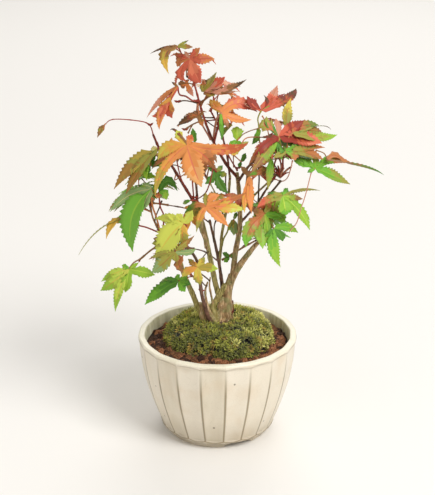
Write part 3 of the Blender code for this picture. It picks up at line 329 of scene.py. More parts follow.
# Leaves of the crown's right side
RIGHT_LEAVES = (
    Leaf((26, 2, 208.5), 0.5, Hue.RED, (
        Lobe(9.5, 15, 6, RED, PINK, (6, 7)), Lobe(14, 10, 4, RED, CRIMSON, (7.5, 5.5)),
        Lobe(20.5, 13, 5.5, RED, UMBER, (15.5, 7)), Lobe(1.5, 9, 2.5, CRIMSON, UMBER, (3.5, 4)),
        Lobe(-8.5, 8.5, 5.5, CRIMSON, CRIMSON, (-4.5, 3)), Lobe(-10.5, 4, 3, RED, PINK),
        Lobe(14.5, 0, 1.5, GREEN, DEEP, (9.5, 4), 70),
    )),
    Leaf((35.5, -16, 197.5), 0.6, Hue.RED, (
        Lobe(15, 9.5, 7.5, RED, CRIMSON, (7.5, 4.5)), Lobe(25.5, -4, 9, CRIMSON, SCARLET, (13.5, -1)),
        Lobe(-17.5, -17, 5, CRIMSON, COPPER, (-9.5, -6.5)), Lobe(-1.5, 10.5, 4, PINK, PINK, (-0.5, 6)),
        Lobe(-4, 10.5, 2.5, DEEP, OLIVE, (-3.5, 5.5)), Lobe(-11, 5.5, 8.5, RUST, OLIVE, (-6, 5.5)),
        Lobe(-11, -0.5, 2, CRIMSON, UMBER), Lobe(-7, 11.5, 2.5, DEEP, OLIVE, (-6, 6.5)),
    )),
    Leaf((41, -2, 199), 0.7, Hue.GREEN, (
        Lobe(2.5, 17.5, 6, OLIVE, STRAW, (0, 7.5)),
    )),
    Leaf((44, -10, 198), 0.45, Hue.GREEN, (
        Lobe(15.5, 4.5, 5.5, RUST, DUSK, (7, 4.5)), Lobe(22.5, 2, 0.8, OLIVE, UMBER, (15.5, 4), 60),
        Lobe(18, -0.5, 5, OLIVE, BROWN, (10, 2)), Lobe(26.5, -1, 5.5, OLIVE, LIME, (15.5, -2.5)),
    )),
    Leaf((25, 2, 197.5), 0.5, Hue.GREEN, (
        Lobe(-4.5, -9.5, 3.5, GREEN, DEEP, (-2, -6)), Lobe(2, 4, 2.5, RUST, BROWN),
    )),
    Leaf((39.5, -22, 190), 0.35, Hue.GREEN, (
        Lobe(23, 2.5, 5, GREEN, RUST, (10.5, 2.5)), Lobe(22, -4.5, 6, OLIVE, RUST, (12, -0.5)),
        Lobe(5.5, -5, 6, GREEN, RUST, (3, -1.5)), Lobe(-3.5, 1, 4, DEEP, GREEN),
        Lobe(-7, -3.5, 3.5, OLIVE, OLIVE), Lobe(11.5, 3, 3, GREEN, OLIVE),
    )),
    Leaf((35, -17, 194.5), 0.6, Hue.GREEN, (
        Lobe(-16, -19, 7, LEAF, BROWN, (-7.5, -7)), Lobe(2.5, -10.5, 3.5, DEEP, GREEN),
        Lobe(-9, -1, 2.5, DEEP, DEEP),
    )),
    Leaf((31.5, -16, 184.5), 0.85, Hue.GREEN, (
        Lobe(-2, -19, 4.5, GREEN, OLIVE, (-1, -8)), Lobe(-7.5, -4.5, 2.5, OLIVE, RUST),
    )),
    Leaf((57.5, -14, 177.5), 0.5, Hue.GREEN, (
        Lobe(-7, 6.5, 5.5, GREEN, MEADOW, (-3.5, 2.5)), Lobe(-12.5, 4.5, 5, GREEN, MEADOW, (-7, 3)),
        Lobe(1, 7, 4.5, GREEN, OLIVE), Lobe(22.5, 2.5, 5, GREEN, RUST, (10, 5)),
        Lobe(21, -9.5, 6, GREEN, OLIVE, (10, -4)), Lobe(-4.5, -2.5, 2.5, GREEN, DEEP),
    )),
    Leaf((65, -10, 181.5), 0.3, Hue.ORANGE, (
        Lobe(10.5, -2, 4, RUST, RUST, (4.5, 2.5)), Lobe(33.5, -9, 1.5, BROWN, DEEP, (22, -4), 70),
    )),
    Leaf((38.5, -20, 162.5), 0.7, Hue.GREEN, (
        Lobe(22, 3, 2, OLIVE, OLIVE, (10.5, 3.5), 60), Lobe(3, 4.5, 3.5, GREEN, DEEP),
        Lobe(12, -2, 4, LIME, BROWN), Lobe(16, -20.5, 6, LEAF, LIME, (10, -9.5)),
        Lobe(2, -11.5, 9, LEAF, GREEN), Lobe(-9, 1, 4, OLIVE, DEEP),
        Lobe(-15, -7, 4.5, OLIVE, RED, (-9.5, -2.5)),
    )),
    Leaf((31.7, -12, 153.3), 0.75, Hue.GREEN, (
        Lobe(10.8, 9, 6.5, LIME, LEAF, (5.4, 4.2)), Lobe(-8.4, -1.2, 4.2, RUST, CORAL, (-4.2, 0.6)),
        Lobe(-12, -12, 8, RUST, GREEN, (-6.6, -6.6)), Lobe(-3.6, -16.2, 8.4, OLIVE, GREEN, (-2.4, -8.4)),
        Lobe(8.6, -9.4, 7, OLIVE, LEAF, (5, -4.8)), Lobe(2, 9, 5, RUST, OLIVE),
    )),
    Leaf((28, -18, 150.5), 0.75, Hue.GREEN, (
        Lobe(-11, -20, 8, RUST, GREEN, (-9, -9)), Lobe(-1, -21, 8.5, OLIVE, LEAF, (-2, -10.5)),
        Lobe(10.5, -2, 5, GREEN, GREEN), Lobe(4, 7, 4, OLIVE, RUST), Lobe(-7.5, 2, 5, RUST, BROWN),
        Lobe(4, -25, 5, LIME, GREEN, (2.5, -13)),
    )),
    Leaf((33.5, -22, 142.5), 0.85, Hue.GREEN, (
        Lobe(14.5, -2.5, 5.5, GREEN, LIME, (7.5, 1)), Lobe(5, -7.5, 5, DEEP, DEEP, (4, -3.5)),
        Lobe(4, -23, 7, GREEN, LIME, (-0.5, -11)), Lobe(-4.5, -7, 5, DEEP, GREEN),
    )),
)

# Leaves of the crown's middle
MIDDLE_LEAVES = (
    Leaf((19, -20, 174.5), 0.85, Hue.ORANGE, (
        Lobe(1, -22, 4.5, ORANGE, ORANGE, (0, -11)), Lobe(-5.5, 6, 3.5, BROWN, BROWN),
        Lobe(4.5, 4, 3.5, GREEN, OLIVE), Lobe(-3, -21.5, 3.5, ORANGE, GOLD, (-3, -12.5)),
        Lobe(7.5, -0.5, 4.5, RUST, BROWN, (7, 3.5)),
    )),
    Leaf((-6.5, -26, 158), 0.7, Hue.ORANGE, (
        Lobe(8, 6.5, 5.5, ORANGE, ORANGE, (2.5, 4.5)), Lobe(-0.5, 8, 3.5, OLIVE, OLIVE),
        Lobe(23.5, 8, 4, ORANGE, RUST, (13.5, 3.5)), Lobe(23, -2, 7, ORANGE, YELLOW, (11.5, -0.5)),
        Lobe(13, -12, 5.5, ORANGE, ORANGE, (6.5, -5.5)), Lobe(-6, -15.5, 4, ORANGE, OLIVE, (-3.5, -6)),
        Lobe(-13, -4.5, 3.5, RUST, DEEP, (-7, 0.5)),
    )),
    Leaf((-0.5, -12, 174.5), 0.75, Hue.GREEN, (
        Lobe(7, -12.5, 5.5, DEEP, DEEP, (2, -7)), Lobe(-7, -7, 4.5, DEEP, DEEP, (-3, -4)),
        Lobe(6, -2, 4, DEEP, OLIVE), Lobe(3.5, 4, 3, OLIVE, DEEP), Lobe(-5.5, 3.5, 3, DEEP, DEEP),
    )),
    Leaf((-16, -24, 161), 0.5, Hue.GREEN, (
        Lobe(-4.5, -2, 2.5, DEEP, GREYGREEN),
    )),
    Leaf((-17.5, -34, 197.5), 0.8, Hue.ORANGE, (
        Lobe(8.5, -24, 12, ORANGE, APRICOT, (3.5, -11.5)), Lobe(15.5, -13, 9, ORANGE, COPPER, (9.5, -5.5)),
        Lobe(35, 1.5, 6, ORANGE, CORAL, (22, -2.5)), Lobe(3, 6, 4.5, ORANGE, CORAL),
        Lobe(-6, 8.5, 5.5, GOLD, YELLOW, (-3.5, 4.5)), Lobe(-9.5, 8.5, 1.5, BROWN, UMBER, (-6, 8)),
        Lobe(-16.5, -8.5, 7.5, AMBER, STRAW, (-10.5, -1.5)),
        Lobe(-18, -29.5, 5.5, ORANGE, HAY, (-13.5, -14)),
    )),
    Leaf((-13, -20, 195), 0.8, Hue.GREEN, (
        Lobe(-1.5, 8.5, 3.5, DEEP, DEEP),
    )),
    Leaf((13, -27, 194.5), 0.5, Hue.GREEN, (
        Lobe(-5, -5, 4, OLIVE, GOLD), Lobe(5, 3, 2.5, OLIVE, OLIVE),
    )),
    Leaf((-20, -30, 148.5), 0.8, Hue.GOLD, (
        Lobe(-17, 3, 6, YELLOW, YELLOW, (-7.5, 3)), Lobe(-4, 6, 5.5, YELLOW, YELLOW),
        Lobe(5.5, 8, 5.5, YELLOW, YELLOW, (3, 3.5)), Lobe(-16.5, -20.5, 14, YELLOW, YELLOW, (-7.5, -7)),
        Lobe(0, -13, 7.5, GOLD, OLIVE, (-0.5, -6)), Lobe(-10, 5.5, 4.5, YELLOW, YELLOW),
    )),
    Leaf((-25, -34, 132.5), 0.8, Hue.GOLD, (
        Lobe(-14, -12.5, 8, OLIVE, GREYGREEN, (-7, -7)), Lobe(-14, -3.5, 3.5, OLIVE, OLIVE, (-8, -1.5)),
        Lobe(11.5, 9.5, 3.5, OLIVE, BROWN, (5.5, 4)), Lobe(12.5, 2, 3.5, GREYGREEN, GREYGREEN, (7.5, -0.5)),
        Lobe(0.5, -6, 4.5, OLIVE, OLIVE),
    )),
    Leaf((-33.5, -28, 137.5), 0.5, Hue.GOLD, (
        Lobe(-4.5, 1, 2.5, BROWN, BROWN), Lobe(0, -4, 4, OLIVE, OLIVE, (-2.5, -1.5)),
    )),
    Leaf((-20.5, -31, 128.5), 0.9, Hue.ORANGE, (
        Lobe(0.5, -10, 5, RUST, BROWN, (-2.5, -4.5)),
    )),
    Leaf((-23.5, -21, 108.5), 0.6, Hue.GREEN, (
        Lobe(-20.5, -14.5, 7.5, DEEP, GREEN, (-11, -6)), Lobe(-11.5, -1, 3, DEEP, GREYGREEN, (-6, 1)),
        Lobe(-1, 4, 3.5, GREEN, GREEN), Lobe(4, -6.5, 5, GREEN, GREEN), Lobe(7.5, -2, 5, GREEN, DEEP),
        Lobe(5.5, 3, 3.5, GREEN, GREEN),
    )),
    Leaf((-12, -30, 121), 0.9, Hue.GOLD, (
        Lobe(-9, -6, 5, AMBER, STRAW, (-5.5, -2)), Lobe(-5.5, 5, 3.5, BRONZE, OLIVE),
        Lobe(4.5, 6, 4, STRAW, OLIVE), Lobe(12.5, -1, 5.5, HAY, CHARTREUSE, (6.5, 0)),
        Lobe(2, -10.5, 5.5, STRAW, OLIVE, (0.5, -5.5)), Lobe(-2.5, 3.5, 2.5, GOLD, RUST),
    )),
    Leaf((10, 6, 138.5), 0.8, Hue.GREEN, (
        Lobe(0, -10, 5.5, GREYGREEN, GREYGREEN), Lobe(2, 4.5, 2.5, GREYGREEN, DEEP),
        Lobe(-3, -7, 3.5, OLIVE, YELLOW),
    )),
    Leaf((7.5, 8, 113), 0.8, Hue.GREEN, (
        Lobe(-4.5, 2.5, 3, DEEP, DEEP), Lobe(3, 0.5, 3, DEEP, DEEP), Lobe(-3.5, -3.5, 3, DEEP, GREEN),
    )),
    Leaf((14.5, 2, 176.5), 0.8, Hue.GREEN, (
        Lobe(2.5, 5.5, 3, DEEP, DEEP), Lobe(-2, -3, 2.5, DEEP, DEEP),
    )),
)

# Leaves of the crown's left side
LEFT_LEAVES = (
    Leaf((-66, -13, 203.7), 0.6, Hue.RED, (
        Lobe(-4.1, -7.4, 2.8, OLIVE, BROWN, (-1.8, -2.9)), Lobe(-3.8, -3.8, 2.4, BROWN, RUST),
        Lobe(-1.4, -4, 2, RUST, CRIMSON),
    )),
    Leaf((-35, -18, 191), 0.6, Hue.GREEN, (
        Lobe(-25.5, -24, 7.5, HAY, BRONZE, (-13.5, -9.5)),
        Lobe(-18.5, -27, 6.5, OLIVE, BRONZE, (-10.5, -12.5)), Lobe(-4, -0.5, 3, PALE, PALE),
        Lobe(-6, -19, 6, DEEP, LIME, (-6.5, -8.5)),
    )),
    Leaf((-39.5, -14, 179), 0.7, Hue.GREEN, (
        Lobe(4, -6.5, 5.5, GREEN, LIME, (-2, -4.5)), Lobe(8.5, 3.5, 4.5, DEEP, GREEN),
        Lobe(2.5, 8.5, 3.5, DEEP, DEEP), Lobe(-6.5, -4.5, 4.5, DEEP, DEEP),
    )),
    Leaf((-38.5, -24, 168), 0.8, Hue.GREEN, (
        Lobe(-24.5, -13.5, 6, GREYGREEN, GREYGREEN, (-13.5, -4)),
        Lobe(-11, -37, 12.5, GREEN, GREEN, (-11.5, -16)),
        Lobe(-5.5, -13, 6, GREYGREEN, GREYGREEN, (-3.5, -6.5)),
        Lobe(-7.5, 0.5, 3, GREYGREEN, GREEN, (-3, 2)), Lobe(2.5, 1, 3, DEEP, DEEP),
    )),
    Leaf((-34.5, -21, 165), 0.7, Hue.GREEN, (
        Lobe(11, 0.5, 5.5, DEEP, DEEP, (5.5, 6.5)), Lobe(4.5, -4.5, 5.5, GREEN, LIME, (3, -0.5)),
        Lobe(-1, -3.5, 3.5, RUST, APRICOT),
    )),
    Leaf((-55.5, -16, 147.5), 0.4, Hue.GOLD, (
        Lobe(-11, -13, 4, GOLD, GOLD, (-7, -4)), Lobe(-27.5, -22.5, 2.5, OLIVE, OLIVE, (-15.5, -8), 35),
        Lobe(-5, -3, 3.5, BROWN, GOLD), Lobe(3, 2, 3.5, BROWN, GREEN),
    )),
    Leaf((-53, -22, 116.5), 0.85, Hue.GREEN, (
        Lobe(15.5, -3.5, 6.5, LIME, LIME, (8, -1.5)), Lobe(5.5, 4, 2.5, LIME, LIME),
        Lobe(-4.5, 2.5, 3.5, GREEN, LIME), Lobe(-17, -7.5, 5.5, YELLOW, LIME, (-9, -2.5)),
        Lobe(-17.5, -13, 8, YELLOW, LIME, (-9, -7)), Lobe(-8.5, -25.5, 5.5, YELLOW, LIME, (-6, -12.5)),
        Lobe(-2.5, -14, 6.5, LIME, LIME),
    )),
)

STALKS = (
    Stalk(((-22.5, -8, 248.5), (-21, -7, 245), (-17.5, -6.2, 236.5))),
    Stalk(((-23, -13.5, 226), (-22, -10, 221), (-18.5, -6, 219),
        (-14.5, -4.6, 216), (-11.5, -3.5, 216)), 0.5),
    Stalk(((-23, -6, 215.5), (-21, -5, 216), (-17.5, -3, 215.5), (-11, -3.2, 214)), 0.4, UMBER),
    Stalk(((-8, -4, 220.5), (-6, -3, 218), (-9, -3, 215.5), (-11, -3.3, 214.5)), 0.4, BROWN),
    Stalk(((-11.5, -3.4, 214), (-12, -1, 207.5), (-8.5, 2, 198.5), (-4, 3.5, 190)), 0.6, PINK),
    Stalk(((-7, 0, 203), (-3, 3, 199), (0.5, -0.5, 198)), 0.35, UMBER),
    Stalk(((2.5, -6, 209), (0, -5, 206), (-1.5, 0, 198.5), (-2.5, 3, 189.5)), 0.7, PINK),
    Stalk(((-7.6, -1.6, 203.5), (-12, -3, 202.5), (-16, -5, 201), (-19, -6, 199)), 0.5, BROWN),
    Stalk(((-15, -4.6, 201.3), (-17.5, -6, 196.5)), 0.35, BROWN),
    Stalk(((26, 2, 208.5), (24, 1, 204), (24.5, 0, 199.5),
        (25, -0.6, 191), (26.4, -1.6, 185.5)), 0.42, OLIVE),
    Stalk(((26.5, 1, 205.5), (28, 0, 203), (29, -3, 201), (30.6, -4.8, 194)), 0.35, RUST),
    Stalk(((24.5, 0, 198), (19.5, 0, 196.5), (15.5, 0, 194.5), (13, -3, 193)), 0.35, BROWN),
    Stalk(((36, -16, 196.5), (36.5, -15, 193.5), (37.5, -12, 189.5), (34, -11, 184)), 0.45, OLIVE),
    Stalk(((55.5, -15, 176), (52, -22, 164.5), (49.2, -26, 157),
        (46.6, -27, 148), (43, -25, 142.5)), 0.3, PINK),
    Stalk(((57.5, -17, 189.5), (62.5, -15, 187), (65, -10, 181.5)), 0.35, BROWN),
    Stalk(((43.8, -20, 184), (43, -14, 176.5), (41.6, -8, 169.5),
        (38.6, -5, 166.6), (34, -3, 167.6)), 0.32, PINK),
    Stalk(((38, -5, 167), (35, -4, 162.5), (31, -2, 157), (27, 1, 152)), 0.6, UMBER),
    Stalk(((24.5, -4, 176), (25, -4, 168.5), (25, 1, 160.5), (25, 3.5, 151)), 0.5, UMBER),
    Stalk(((5, 8, 167.5), (5, 9, 160.5), (5.4, 11.6, 152)), 0.45, UMBER),
    Stalk(((5.5, -2, 184), (8, 0, 178.5), (12, 6, 170)), 0.5, CRIMSON),
    Stalk(((9.5, 4, 180.5), (9.8, 6, 172)), 0.3, RUST),
    Stalk(((-24, -30, 190), (-21.6, -24, 175.5), (-18, -14, 163.5), (-14.2, -8, 156)), 0.4, CRIMSON),
    Stalk(((-17.5, -16, 176), (-21.5, -14, 172.5), (-25.5, -10, 169), (-24.8, -5.6, 171)), 0.35, RUST),
    Stalk(((-15.5, -30, 184), (-14.8, -24, 174), (-14.4, -12, 161), (-14.2, -7, 155.5)), 0.45, CRIMSON),
    Stalk(((-2.5, -26, 183.5), (-3.8, -24, 174.5), (-6.5, -18, 164.5),
        (-10.2, -10, 158.2), (-13.2, -8, 156)), 0.4, CRIMSON),
    Stalk(((-39.5, -22, 166), (-38.5, -20, 156), (-36.5, -18, 148.5), (-34.5, -14.8, 138)), 0.6, RUST),
    Stalk(((-34.5, -21, 165), (-34, -19, 155.5), (-32, -18, 149), (-33, -14.4, 137)), 0.5, CRIMSON),
    Stalk(((-33, -19, 159), (-34.5, -18.5, 154.5), (-37, -18, 148),
        (-37, -16, 142.5), (-34.6, -14.6, 137.5)), 0.4, UMBER),
    Stalk(((-55.5, -16, 147.5), (-48, -18, 143.5), (-42.5, -17, 141.5), (-34.6, -14.4, 137)), 0.5, CRIMSON),
    Stalk(((-53, -22, 117), (-50.5, -20, 120), (-47.5, -19, 121.5), (-44, -17, 123.5)), 0.45, BROWN),
    Stalk(((-47.5, -17, 172.5), (-42, -17, 176), (-39.5, -14, 181)), 0.4, OLIVE),
    Stalk(((-20, -28, 133), (-15.5, -18, 126), (-12.6, -10, 117)), 0.6, UMBER),
    Stalk(((-11, -26, 123.5), (-11.3, -16, 119), (-12.2, -10, 115)), 0.45, CRIMSON),
    Stalk(((-5.5, -2, 120), (-8, -5, 119), (-11.8, -9.6, 114)), 0.35, UMBER),
    Stalk(((-11, -26, 116), (-9, -20, 112), (-7, -12, 107), (-5, -2, 101)), 0.45, UMBER),
    Stalk(((-9.6, -21, 108), (-7.8, -13, 102.5), (-6.6, -5, 98.6)), 0.4, UMBER),
    Stalk(((-1, 2, 139), (-2, 3, 135), (-2, 9, 126), (-1.6, 11.2, 119)), 0.4, UMBER),
    Stalk(((7, 4, 135), (6, 6, 130), (4, 10, 124.5), (2.7, 11.2, 119)), 0.5, OLIVE),
    Stalk(((10, 6, 138.5), (10.5, 5, 133), (12.6, 4.6, 127)), 0.35, RUST),
)

BUDS = ((-12, -3.6, 215), (-13.6, -9, 157.5), (-34.5, -15, 139), (-39.5, -9.5, 202.5), (12.5, 7, 171),
        (-19, -6, 198.6), (-23.4, -6, 215.6), (29, -10.8, 138), (-10, -8, 96.5))


def linear(code: str) -> tuple[float, float, float, float]:
    """Turns an sRGB hex colour to linear.

    Args:
        code: six hex digits.

    Returns:
        The linear red, green and blue, and an alpha of 1.
    """
    shares = [int(code[i:i + 2], 16) / 255 for i in (0, 2, 4)]
    red, green, blue = (s / 12.92 if s <= 0.04045 else ((s + 0.055) / 1.055) ** 2.4 for s in shares)
    return red, green, blue, 1.0


def channels(tint: Tint) -> Vector:
    """Returns a tint's red, green and blue from 0 to 255."""
    return Vector([int(tint.value[i:i + 2], 16) for i in (0, 2, 4)])


@lru_cache(maxsize=None)
def between(base: Tint, end: Tint, step: int) -> Tint:
    """Returns the tint nearest to a mix of two, so many sixths of the way from the first to the second."""
    mixed = channels(base).lerp(channels(end), step / 6)
    return min(Tint, key=lambda tint: (channels(tint) - mixed).length)


def feed(tree: NodeTree, source: str, socket: NodeSocket) -> None:
    """Links a socket to a source: a node's name, and after a colon its output where that isn't the first."""
    name, output = (source + ":0").split(":")[:2]
    tree.links.new(tree.nodes[name].outputs[int(output) if output.isdigit() else output], socket)


def add_node(tree: NodeTree, kind: str, settings: dict, links: dict) -> Node:
    """Adds a node with its settings and links.

    Args:
        tree: the node tree that takes it.
        kind: the node's type, and after a colon its operation where it has one.
        settings: values for its properties, and for its inputs by name or number; "stops" is a ramp's
            list of (place, sRGB hex).
        links: what feeds each input: an earlier node's name, and after a colon its output, where that
            isn't the first.

    Returns:
        The new node.
    """
    kind, _, operation = kind.partition(":")
    node = tree.nodes.new(kind)
    if operation:
        node.operation = operation
    for key, value in settings.items():
        if key == "stops":
            ramp = node.color_ramp.elements
            while len(ramp) < len(value):
                ramp.new(1.0)
            for stop, (place, code) in zip(ramp, value):
                stop.position = place
                stop.color = linear(code)
        elif isinstance(key, str) and hasattr(node, key):
            setattr(node, key, value)
        else:
            node.inputs[key].default_value = value
    for key, source in links.items():
        feed(tree, source, node.inputs[key])
    return node


def lay_nodes(tree: NodeTree, recipe: dict[str, tuple[str, dict, dict]], family: str = "") -> None:
    """Adds a recipe's nodes in order, each of a kind in the family, with its settings and links."""
    for name, (kind, settings, links) in recipe.items():
        add_node(tree, family + kind, settings, links).name = name


def paint_over(recipe: dict, below: str, layers: tuple) -> str:
    """Lays colours one over another in a material's recipe.

    Args:
        recipe: the recipe that takes them.
        below: the source of the colour beneath.
        layers: for each its name, its sRGB hex, the value that it follows, the places on that value
            where it starts and is full, and how much of it then shows.

    Returns:
        The source of the finished colour.
    """
    for name, code, value, start, full, most in layers:
        recipe[name + " share"] = ("MapRange", {1: start, 2: full, 3: 0.0, 4: most}, {0: value})
        recipe[name] = ("Mix", {"data_type": "RGBA", 7: linear(code)}, {0: name + " share", 6: below})
        below = name + ":2"
    return below


def new_material(name: str, looks: dict, recipe: dict | None = None, feeds: dict | None = None) -> Material:
    """Makes a material of one Principled shader.

    Args:
        name: the material's name.
        looks: the shader's plain values, by socket.
        recipe: the nodes behind it, where it has any; "place" is the piece's own coordinates.
        feeds: what feeds each of the shader's sockets.

    Returns:
        The material.
    """
    made = bpy.data.materials.new(name)
    made.use_nodes = True
    shader = made.node_tree.nodes["Principled BSDF"]
    for socket, value in {"IOR": 1.5, **looks}.items():
        shader.inputs[socket].default_value = value
    if recipe:
        lay_nodes(made.node_tree, {"place": ("TexCoord", {}, {}), **recipe}, "ShaderNode")
    for socket, source in (feeds or {}).items():
        feed(made.node_tree, source, shader.inputs[socket])
    return made


def smooth_route(points: tuple | list, step: float) -> list[Vector]:
    """Finds points about a step apart on a smooth curve through the given ones.

    Args:
        points: the places that the curve passes.
        step: the spacing in millimetres.

    Returns:
        The points of the curve.
    """
    way = [Vector(point) for point in points]
    way = [2 * way[0] - way[1], *way, 2 * way[-1] - way[-2]]
    made = []
    for before, start, end, after in zip(way, way[1:], way[2:], way[3:]):
        count = max(1, round((end - start).length / step))
        for index in range(count):
            t = index / count
            made.append(0.5 * (
                2 * start + (end - before) * t + (2 * before - 5 * start + 4 * end - after) * t ** 2
                + (3 * start - before - 3 * end + after) * t ** 3
            ))
    return [*made, way[-2]]


def eased(share: float) -> float:
    """Returns a share from 0 to 1 with a soft start and end."""
    share = min(1.0, max(0.0, share))
    return share * share * (3 - 2 * share)


def polar(radius: float, angle: float, height: float) -> Vector:
    """Returns the point at a radius, an angle and a height about the pot's axis."""
    return Vector((radius * math.cos(angle), radius * math.sin(angle), height))


def ring_faces(rings: int, turns: int, around: bool = False) -> list[tuple[int, ...]]:
    """Finds the faces between rings of points.

    Args:
        rings: how many rings there are.
        turns: the points in each.
        around: whether the last ring joins the first again.

    Returns:
        The faces, ring by ring.
    """
    faces = []
    for low in range(rings if around else rings - 1):
        high = (low + 1) % rings
        for turn in range(turns):
            ahead = (turn + 1) % turns
            faces.append((low * turns + turn, high * turns + turn, high * turns + ahead, low * turns + ahead))
    return faces


@dataclass
class Draft:
    """The points, faces and face colours of one mesh, in millimetres about the pot's axis."""

    points: list = field(default_factory=list)
    faces: list = field(default_factory=list)
    slots: list = field(default_factory=list)

    def add(self, points: list, faces: list, slot: int | list = 0) -> None:
        """Adds a shape.

        Args:
            points: its points.
            faces: its faces, numbered from its own first point.
            slot: the material slot of all its faces, or of each.
        """
        first = len(self.points)
        self.points.extend(points)
        self.faces.extend(tuple(index + first for index in face) for face in faces)
        self.slots.extend(slot if isinstance(slot, list) else [slot] * len(faces))

    def add_column(self, points: list, turns: int, slot: int = 0) -> None:
        """Adds a closed column.

        Args:
            points: its points, ring by ring upwards.
            turns: how many are in each ring.
            slot: its material slot.
        """
        rings = len(points) // turns
        faces = [(a, d, c, b) for a, b, c, d in ring_faces(rings, turns)]
        ends = [tuple(reversed(range(turns))), tuple(range((rings - 1) * turns, rings * turns))]
        self.add(points, faces + ends, slot)

    def add_tube(self, route: list[Vector], radii: list[float], sides: int, slot: int = 0) -> None:
        """Adds a closed tube.

        Args:
            route: the points that it follows.
            radii: its radius at each.
            sides: how many sides its section has.
            slot: its material slot.
        """
        along = (route[1] - route[0]).normalized()
        across = along.orthogonal().normalized()
        points = []
        for index, (spot, radius) in enumerate(zip(route, radii)):
            ahead = (route[min(index + 1, len(route) - 1)] - route[max(index - 1, 0)]).normalized()
            across = (across - ahead * across.dot(ahead)).normalized()
            over = ahead.cross(across)
            for side in range(sides):
                turn = math.tau * side / sides
                points.append(spot + (across * math.cos(turn) + over * math.sin(turn)) * radius)
        self.add_column(points, sides, slot)


@dataclass(frozen=True)
class Workshop:
    """Where the pot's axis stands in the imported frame, and how a draft becomes a mesh there."""

    x: float
    y: float

    @property
    def axis(self) -> Vector:
        """The foot of the pot's axis."""
        return Vector((self.x, self.y, 0))

    def mesh(self, name: str, draft: Draft, finishes: list[Material], smooth: bool = True) -> Object:
        """Makes an object of a draft.

        Args:
            name: the object's name.
            draft: its points and faces.
            finishes: its materials, in the order of its slots.
            smooth: whether its faces are shaded smooth.

        Returns:
            The object, at the origin.
        """
        mesh = bpy.data.meshes.new(name)
        spots = np.array([tuple(point) for point in draft.points], np.float64)
        spots = (spots + (self.x, self.y, 0.0)) * MM
        mesh.from_pydata(spots.tolist(), [], draft.faces)
        for finish in finishes:
            mesh.materials.append(finish)
        mesh.polygons.foreach_set("material_index", draft.slots)
        mesh.polygons.foreach_set("use_smooth", [smooth] * len(draft.faces))
        mesh.update()
        made = bpy.data.objects.new(name, mesh)
        bpy.context.scene.collection.objects.link(made)
        return made

    @staticmethod
    def settle(made: Object) -> Object:
        """Makes an object's modifiers part of its mesh.

        Args:
            made: the object.

        Returns:
            The same object, with no modifier.
        """
        bpy.context.view_layer.update()
        graph = bpy.context.evaluated_depsgraph_get()
        mesh = bpy.data.meshes.new_from_object(made.evaluated_get(graph))
        made.modifiers.clear()
        old, made.data = made.data, mesh
        bpy.data.meshes.remove(old)
        mesh.name = made.name
        return made

    @staticmethod
    def join(name: str, parts: list[Object]) -> Object:
        """Joins objects into one.

        Args:
            name: the name of the result.
            parts: the objects.

        Returns:
            The joined object.
        """
        bpy.ops.object.select_all(action="DESELECT")
        for part in parts:
            part.select_set(True)
        bpy.context.view_layer.objects.active = parts[0]
        bpy.ops.object.join()
        parts[0].name = parts[0].data.name = name
        return parts[0]

    @staticmethod
    def declare(piece: Object, slot: str, *nodes: str) -> None:
        """Sets a piece on the frame's body.

        Args:
            piece: the piece.
            slot: not used.
            nodes: the CAD nodes that it stands for.
        """
        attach(piece, BODY)
        if nodes:
            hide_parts(*nodes)
        triangles = sum(len(face.vertices) - 2 for face in piece.data.polygons)
        LOG.info("%s: %d triangles", piece.name, triangles)


